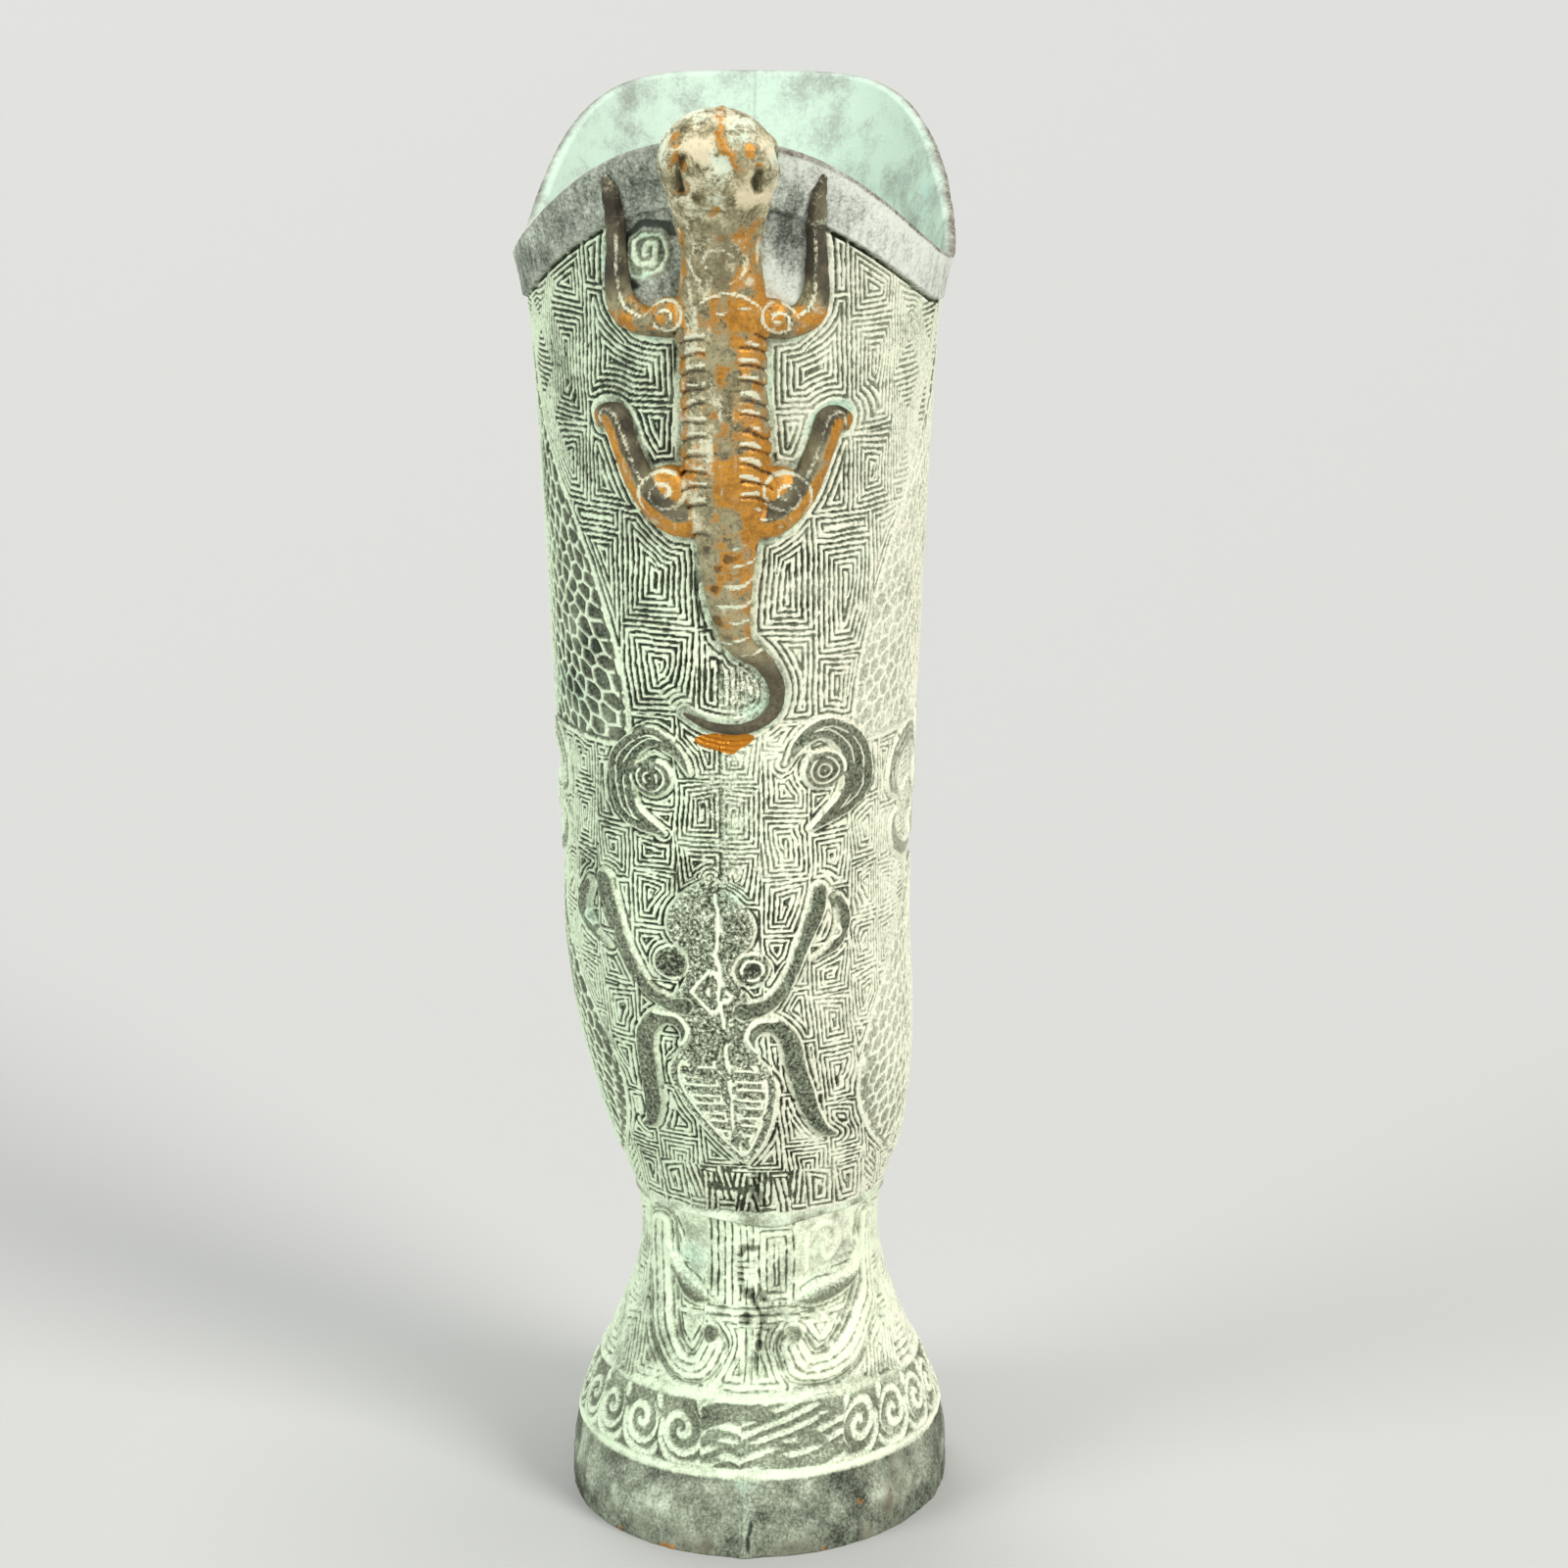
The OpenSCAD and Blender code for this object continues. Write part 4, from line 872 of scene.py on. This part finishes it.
# The mesh of a field's zero surface, one point in each crossed cell
def fieldMesh(field):
    inside = field < 0
    shape = np.array(field.shape) - 1
    total, count = np.zeros((*shape, 3), np.float32), np.zeros(shape, np.float32)

    def part(values, offset):
        return values[tuple(slice(o, o + n) for o, n in zip(offset, shape))]
    for axis in range(3):
        others = [k for k in range(3) if k != axis]
        for a, b in ((0, 0), (0, 1), (1, 0), (1, 1)):
            start = np.zeros(3, int)
            start[others[0]], start[others[1]] = a, b
            end = start.copy()
            end[axis] = 1
            f0, f1 = part(field, start), part(field, end)
            crossed = part(inside, start) != part(inside, end)
            t = np.where(crossed, f0 / np.where(crossed, f0 - f1, 1), 0)
            for k in range(3):
                total[..., k] += np.where(crossed, t if k == axis else start[k], 0)
            count += crossed
    active = count > 0
    index = np.full(shape, -1)
    index[active] = np.arange(active.sum())
    verts = np.argwhere(active) + total[active] / count[active][:, None]
    faces = []
    for axis in range(3):
        order = (axis, (axis + 1) % 3, (axis + 2) % 3)
        a, cells = np.moveaxis(inside, order, (0, 1, 2)), np.moveaxis(index, order, (0, 1, 2))
        i, j, k = np.nonzero(a[:-1, 1:-1, 1:-1] != a[1:, 1:-1, 1:-1])
        quad = np.stack([cells[i, j, k], cells[i, j + 1, k], cells[i, j + 1, k + 1], cells[i, j, k + 1]], -1)
        out = a[:-1, 1:-1, 1:-1][i, j, k]
        quad[~out] = quad[~out][:, ::-1]
        faces.append(quad)
    return verts, np.vstack(faces)


# Two fields run together over a soft corner
def joined(a, b, k):
    t = np.clip(.5 + .5 * (b - a) / k, 0, 1)
    return b + (a - b) * t - k * t * (1 - t)


# The dragon as a field over the front: trunk, legs, discs and head with their cuts, and flat maps of these
def dragonField(xs, us, outs):
    x2, u2 = np.meshgrid(xs - dragon["shift"], us, indexing="ij")
    ax, flat = np.abs(x2), np.stack([x2, u2, 0 * x2], -1)
    x3, a3, u3, o = x2[..., None], ax[..., None], us[None, :, None], outs[None, None]

    def tube(parts, lift, flatness):
        return np.sqrt(parts[1][..., None] ** 2 + ((o - lift) / flatness) ** 2) - parts[2][..., None]

    def bulb(across, cx, cu, co, rx, ru, ro):
        return np.sqrt(((across - cx) / rx) ** 2 + ((u3 - cu) / ru) ** 2 + ((o - co) / ro) ** 2)
    paths = dragonLimbs(lambda px, ph: float(seamZ(ph)))
    trunk, *legs = (strokeParts(x2, u2, path) for path in paths)
    body, legDist = tube(trunk, dragon["lift"], dragon["flat"]), least(*(leg[0] for leg in legs))
    for leg in legs:
        body = joined(body, tube(leg, dragon["legLift"], dragon["legFlat"]), .8)
    cut, discs = np.zeros(x2.shape), np.full(x2.shape, 9.0)
    for px, ph, pr, pitch in (dragon["shoulder"], dragon["hip"]):
        pu = float(seamZ(ph))
        gap = np.hypot(ax - px, u2 - pu)
        body = joined(body, np.sqrt(gap[..., None] ** 2 + ((o - .4) * 1.3) ** 2) - pr, .8)
        cut = most(cut, spiral(ax, u2, px, pu, pitch, pr - .1))
        discs = least(discs, gap - pr)

    # head: a rounded bulb, brows over slot eyes, a broad bridge, a pit beside it
    s = smoothPath([(float(seamZ(ph)), *sizes) for ph, *sizes in dragon["head"]], 5)
    wide, mid, deep = (np.interp(us, s[:, 0], s[:, k])[None, :, None] for k in (1, 2, 3))
    skull = (np.sqrt((x3 / wide) ** 2 + ((o - mid) / deep) ** 2) - 1) * least(wide, deep)
    body = joined(body, most(skull, u3 - s[-1, 0], s[0, 0] - u3), 1.4)
    body = joined(body, (bulb(a3, *dragon["brow"]) - 2.5) * .95, 1.2)
    body = joined(body, bulb(x3, *dragon["bridge"]) - 2.1, 1.2)
    crown, jag = stroke(x2, u2, dragon["crown"]), .35 * noise(flat, 1.4, 38)
    leftEye, rightEye = (stroke(x2, u2, path) + jag for path in dragon["eyes"])
    socket = least(leftEye, rightEye)
    body += (1.5 * ramp(-socket, -.3, .9))[..., None]
    body = most(body, 1 - bulb(x3, *dragon["pit"]))

    # overlapping ribs, rings of the tail and neck, a thin line along each leg
    onTrunk, wob = (trunk[0] < .3) & (legDist > -1.2), noise(flat, 3, 39)
    turn = spaced(u2 + .09 * (ax - 3) ** 2 + np.where(x2 > 0, 0, 1.2) + .5 * wob, dragon["ribPitch"])
    reach = span(u2, *dragon["ribRows"]) * ramp(ax, 2, 2.8) * onTrunk
    ribs = line(turn, np.where(x2 > 0, .85, .6)) * reach * ramp(wob, -.8, -.3) * (1 - ramp(ax, 5, 6.4))
    # A groove under each rib, which the wear also paints dark as a painted shadow
    ribGrooveShade = line(turn + .95, .6) * reach
    rings = line(spaced(u2 - .05 * x2 ** 2 - dragon["ringStart"] + .6 * wob, dragon["ringPitch"]), .6)
    rings = rings * span(u2, *dragon["ringRows"]) * (trunk[0] < 0) * ramp(x2 + 3 * wob, -2, 1)
    coilX, coilU, coilReach = dragon["neckCoil"]
    around = np.hypot(x2 - coilX, u2 - coilU)
    rings += .9 * line(spaced(around, dragon["coilPitch"]), .42) * (around < coilReach) * ramp(wob, -.4, 0)
    for arcX, arcU, bend, width, far, deepness in dragon["neckArcs"]:
        rings += deepness * line(u2 - arcU + bend * (x2 - arcX) ** 2, width) * (np.abs(x2 - arcX) < far)
    cut = most(cut * ramp(wob, -.9, -.4), ribs, rings * onTrunk)

    def beside(inset):
        moved = ([(px - inset * math.copysign(1, px), pu + .75 * inset, .1) for px, pu, wide in path]
                 for path in paths[1:])
        return least(*(stroke(x2, u2, path) for path in moved))
    inward = beside(.8)
    legLine = line(inward, .36) * (legDist < -.3) * (trunk[0] > -.8) * (discs > .1)
    cut = np.clip(most(cut, legLine * ramp(wob, -.7, -.3)), 0, 1)
    spine = line(ax - 1.9, .4) * ramp(u2, 184, 187) * (u2 < 223) * onTrunk
    body += (-.1 * cut + .5 * ribGrooveShade + .15 * spine - .2 * legLine - .45 * ramp(-crown, -.3, .6))[..., None]
    grid = np.stack(np.meshgrid(xs, us, outs, indexing="ij"), -1)
    lumps = .2 * noise(grid, 2.3, 30) + .09 * noise(grid, .9, 29)
    body = most(body + lumps * (.35 + .9 * ramp(u3, 226, 240)), -.55 - o)
    return body, dict(trunk=trunk[0], legs=legDist, outer=ramp(inward - beside(-.8), -1, 1), cut=cut, ribGrooveShade=ribGrooveShade,
                      crown=crown, socket=socket, leftEye=leftEye)


# Wear on the highs, tan and grey between, painted shade in the sockets and the pit, a painted shadow under
# each rib, verdigris in the cuts
def dragonWear(points, across, u, out, at):
    grit = partial(noise, points)
    headPart, tailPart = ramp(u, *dragon["headFrom"]), 1 - ramp(u, *dragon["tailFrom"])
    neckPart = ramp(u, *dragon["neckFrom"]) * (1 - headPart)
    patch, spots, streak = grit(3.4, 31), grit(1.8, 33), grit(1.3, 42, (1.6, 1, .45))
    onLeg, foreleg = (at["legs"] < .6) & (at["trunk"] > 0), u > dragon["legSplit"]
    elbow = spot(u, float(seamZ(dragon["elbow"])), 4.5)
    wear = np.interp(u, *zip(*dragon["wear"])) - .16 * ramp(-across, .5, 2.5)
    wear += .1 + .3 * ramp(across, .6, 3.6) + .4 * ramp(-across, 4.6, 6) + .34 * patch + .3 * spots
    legWear = np.where(foreleg, elbow * .85 - .2 + .4 * spots, at["outer"] * .75 + .4 * patch + .05)
    wear = np.where(onLeg, legWear, wear)
    flecks = ramp(-at["crown"] - .9 * spots, -.7, .3)
    for fleckX, fleckU, size in dragon["flecks"]:
        gap = np.hypot(across - fleckX, u - fleckU) / size
        flecks = most(flecks, 1 - ramp(gap - .5 * spots, .5, 1.2))
    wear = mixed(wear, .04 + .46 * flecks + .3 * spots, headPart)
    wear = most(wear, headPart * .55 * ramp(-at["leftEye"], -.9, -.3) * ramp(spots, -.5, .1))
    wear = wear * mixed(.2, 1, ramp(u - .4 * across, 155, 164))
    # Painted shade in the eye sockets and in the pit beside the bridge, and the painted shadow under each rib
    hole = np.hypot((across + 2.8) / 1.2, (u - 243) / 1.3)
    legDark = np.where(foreleg, .7 * (1 - elbow), .64 * (1 - at["outer"])) * (1 + .3 * patch)
    dark = most(headPart * .62 * ramp(-at["socket"], 0, .8), .3 * (1 - ramp(hole, .6, 1.2)), .75 * at["ribGrooveShade"],
                tailPart * .62 * ramp(spots + .5 * patch, .1, .6), onLeg * legDark,
                neckPart * .5 * spot(across, .4, 2.6) + .68 * (1 - ramp(u, 158, 168)))
    lowDown = (1 - ramp(out, .15, 1.1)) * (.5 + .5 * patch)
    grey = .26 * spot(across, -.6, 2) * spot(u, 204, 5) + .22 * ramp(-across, 0, 2)
    grey = .1 + grey * (1 - tailPart) + .3 * streak + .22 * grit(3, 37)
    grey = grey * (1 - .8 * neckPart) + .3 * neckPart * (1 + streak)
    pale = most(at["cut"] * .95, .6 * lowDown, np.where(onLeg, .2 + .34 * streak, grey))
    headPale = .54 + .3 * grit(3, 36) + .24 * spots - .4 * ramp(wear, .3, .55)
    pale = mixed(pale, headPale, headPart) * (1 - .6 * dark)
    return dict(wear=wear, cut=pale, dark=dark, bone=mixed(.45, .5 + .6 * patch, headPart))


def dragonPiece(cell=.26):
    axes = [np.arange(*ends, cell) for ends in ((-23, 25), (142.4, 259), (-.8, 9.8))]
    body, maps = dragonField(*axes)
    for k in (0, -1):
        body[k] = body[:, k] = body[:, :, k] = 1
    verts, faces = fieldMesh(body.astype(np.float32))
    x, u, out = (steps[0] + verts[:, k] * cell for k, steps in enumerate(axes))
    top = float(seamZ(rimLow))
    stretch = (top - liftZ) / (rimLow - liftZ)
    h = np.where(u < liftZ, u, liftZ + (least(u, top) - liftZ) / stretch)
    points = frontPoint(x, h, out + vessel["bandStep"] * ramp(h, bandZ - .2, bandZ + .2))
    points[:, 2] += most(0, u - top)
    near = tuple(np.clip(np.round(verts[:, k]).astype(int), 0, len(axes[k]) - 1) for k in (0, 1))
    at = {key: values[near] for key, values in maps.items()}
    attributes = dragonWear(points, x - dragon["shift"], u, out, at)
    print("dragon,", len(points), "points")
    return meshOf("dragonCasting", points, faces.tolist(), attributes)


dress(dragonPiece(), "dragon", dragonBronze)

# Mould seams fill the gaps between the halves and carry their relief across
seams = dict(half=.375, bead=.06, rough=.05, proud=.03, backHalf=.06, depth=.9)


def seamPiece(name, end, part, heights):
    d, axis = profile(heights)[1::2]
    z = trueZ(heights, float(end))
    column = 0 if end < 0 else -1
    left, right = edges[part + "_left"], edges[part + "_right"]
    bead = seams["bead"] * (.9 + .9 * noise(np.stack([0 * z, 0 * z, z], -1), 4, 43 + end))
    rows, layers = [], []
    for t in np.linspace(-1, 1, 9):
        layer = {key: mixed(left[key][:, column], right[key][:, column], (t + 1) / 2) for key in left}
        reach = d + layer["out"] + seams["proud"] + bead * (1 - t * t)
        rows.append(np.stack([axis + seams["half"] * t, midY + end * reach, z], -1))
        layers.append(layer)
    verts = np.stack(rows, 1)
    verts[..., 1] += seams["rough"] * noise(verts, 1.3, 45)
    deep = midY + end * (d - bodyWall(heights) * seams["depth"])
    behind = [np.stack([axis + seams["backHalf"] * t, deep, z], -1) for t in (1, -1)]
    verts = np.concatenate([verts, np.stack(behind, 1)], 1)
    layers += [layers[0], layers[0]]
    attributes = {key: np.stack([layer[key] for layer in layers], 1) for key in left if key != "out"}
    count, ring = verts.shape[:2]
    caps = [list(range(ring))[::-1], list(range((count - 1) * ring, count * ring))]
    faces = [face[::end] for face in gridFaces(count, ring, closedColumns=True).tolist() + caps]
    return meshOf(name, verts.reshape(-1, 3), faces, attributes, caps=2)


for end, word in ((-1, "front"), (1, "back")):
    dress(seamPiece("bodySeam_" + word, end, "bodyShell", bodyHeights), word + "_body_seam", braze)
    dress(seamPiece("footSeam_" + word, end, "footShell", footHeights), word + "_foot_seam", braze)

# The brazed joint between body and foot, smeared at the front
joint = dict(half=.8, bead=.1, sink=.5, smearTurn=.16, smearWide=.3)


def jointPiece():
    a = np.linspace(0, 2 * math.pi, 520, endpoint=False)
    w, d, n, axis = (float(v) for v in profile(jointZ))
    c, s = oval(a, n)
    flat = np.stack([w * c, d * s, 0 * a], -1)
    smear = spot(a, 1.5 * math.pi + joint["smearTurn"], joint["smearWide"])
    size, tall = 1 + .4 * noise(flat, 5, 51) + .9 * smear, 1 + .3 * noise(flat, 7, 53)
    loops = []
    for t in np.linspace(0, 2 * math.pi, 15)[:-1]:
        up, over = math.sin(t), math.cos(t)
        out = joint["bead"] * size * max(0, over) - joint["sink"] * max(0, -over)
        out += .12 * noise(flat + t, 1.5, 52)
        z = jointZ + joint["half"] * up * tall - smear * (1.6 if up < 0 else .2) * abs(up)
        loops.append(np.stack([axis + (w + out) * c, midY + (d + out) * s, z], -1))
    verts = np.stack(loops, 1).reshape(-1, 3)
    faces = gridFaces(len(a), len(loops), closedRows=True, closedColumns=True)[:, ::-1].tolist()
    tone, even = .72 + .4 * noise(verts, 3, 54) + .2 * np.repeat(smear, len(loops)), np.ones(len(verts))
    return meshOf("jointBead", verts, faces, dict(tone=tone, lush=.6 * even, grain=.4 * even))


dress(jointPiece(), "joint_ring", braze)


# The chamber floor: a dished plate with a ragged cast skin
def floorPiece(rings=42, spokes=160):
    low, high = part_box("chamber_floor")
    mid, half = (low + high) * 500, (high - low) * 500
    a = np.linspace(0, 2 * math.pi, spokes, endpoint=False)
    layers = []
    for k, r in enumerate((*np.linspace(.02, 1, rings), *np.linspace(1, .02, 8))):
        flat = np.stack([r * half.x * np.cos(a), r * half.y * np.sin(a), 0 * a], -1)
        top = high.z * 1000 - .25 * (1 - r * r) - .06 + .12 * noise(flat, 4, 61)
        flat[:, 2] = top if k < rings else low.z * 1000 + .05
        layers.append(flat)
    verts, rows = np.vstack(layers) + np.array([mid.x, mid.y, 0]), len(layers)
    faces = gridFaces(rows, spokes, closedColumns=True)[:, ::-1].tolist()
    faces += [list(range(spokes)), list(range((rows - 1) * spokes, rows * spokes))[::-1]]
    even = np.ones(len(verts))
    return meshOf("chamberFloor", verts, faces, dict(tone=.8 * even, inside=even), caps=2)


dress(floorPiece(), "chamber_floor", bronze)
print("seams, joint and floor")

# Stage: a pale floor and soft studio light
stageLook = dict(floor=paint("b9b9b6"), size=60.0, sky=paint("c3c6ca"), skyPower=.36)
mesh = bpy.data.meshes.new("studioFloor")
half = stageLook["size"] / 2
mesh.from_pydata([(-half, -half, 0), (half, -half, 0), (half, half, 0), (-half, half, 0)], [], [(0, 1, 2, 3)])
studio = bpy.data.objects.new("studioFloor", mesh)
scene.collection.objects.link(studio)
look = Looks("studioPaper")
mesh.materials.append(look.finish(stageLook["floor"], .9, 0.0, look.cloud(60.0), .05))

world = bpy.data.worlds.new("softRoom")
world.use_nodes = True
scene.world = world
backdrop = world.node_tree.nodes["Background"]
backdrop.inputs["Color"].default_value = stageLook["sky"]
backdrop.inputs["Strength"].default_value = stageLook["skyPower"]

# Each light: where it comes from, its spread in degrees, power and colour
lights = [("keyLight", (.8, -.75, .62), 24, 2.6, (1, .98, .96)),
          ("fillLight", (-.95, -.75, .43), 32, 2.0, (.95, 1, .98)),
          ("topLight", (.05, .1, 1.1), 30, 1.45, (1, 1, 1)),
          ("backLight", (-.4, 1.1, .58), 36, 1.3, (1, 1, 1))]
for name, towards, spread, power, color in lights:
    lamp = bpy.data.lights.new(name, "SUN")
    lamp.angle, lamp.energy, lamp.color = math.radians(spread), power, color
    holder = bpy.data.objects.new(name, lamp)
    holder.location = towards
    holder.rotation_euler = (-Vector(towards)).to_track_quat("-Z", "Y").to_euler()
    scene.collection.objects.link(holder)

# Camera at the photo's angle
view = dict(target=(.00843, .00389, .1294), distance=1.0, azimuth=3.21, elevation=12.66, lens=127.26)
az, el = math.radians(view["azimuth"]), math.radians(view["elevation"])
back = Vector((math.sin(az) * math.cos(el), -math.cos(az) * math.cos(el), math.sin(el)))
camera = bpy.data.cameras.new("photoCamera")
camera.sensor_width, camera.lens = 36, view["lens"]
camera.clip_start, camera.clip_end = .01, 50
eye = bpy.data.objects.new("photoCamera", camera)
eye.location = Vector(view["target"]) + back * view["distance"]
eye.rotation_euler = (-back).to_track_quat("-Z", "Y").to_euler()
scene.collection.objects.link(eye)
scene.camera = eye
scene.view_settings.view_transform = "Standard"
print("stage and camera")
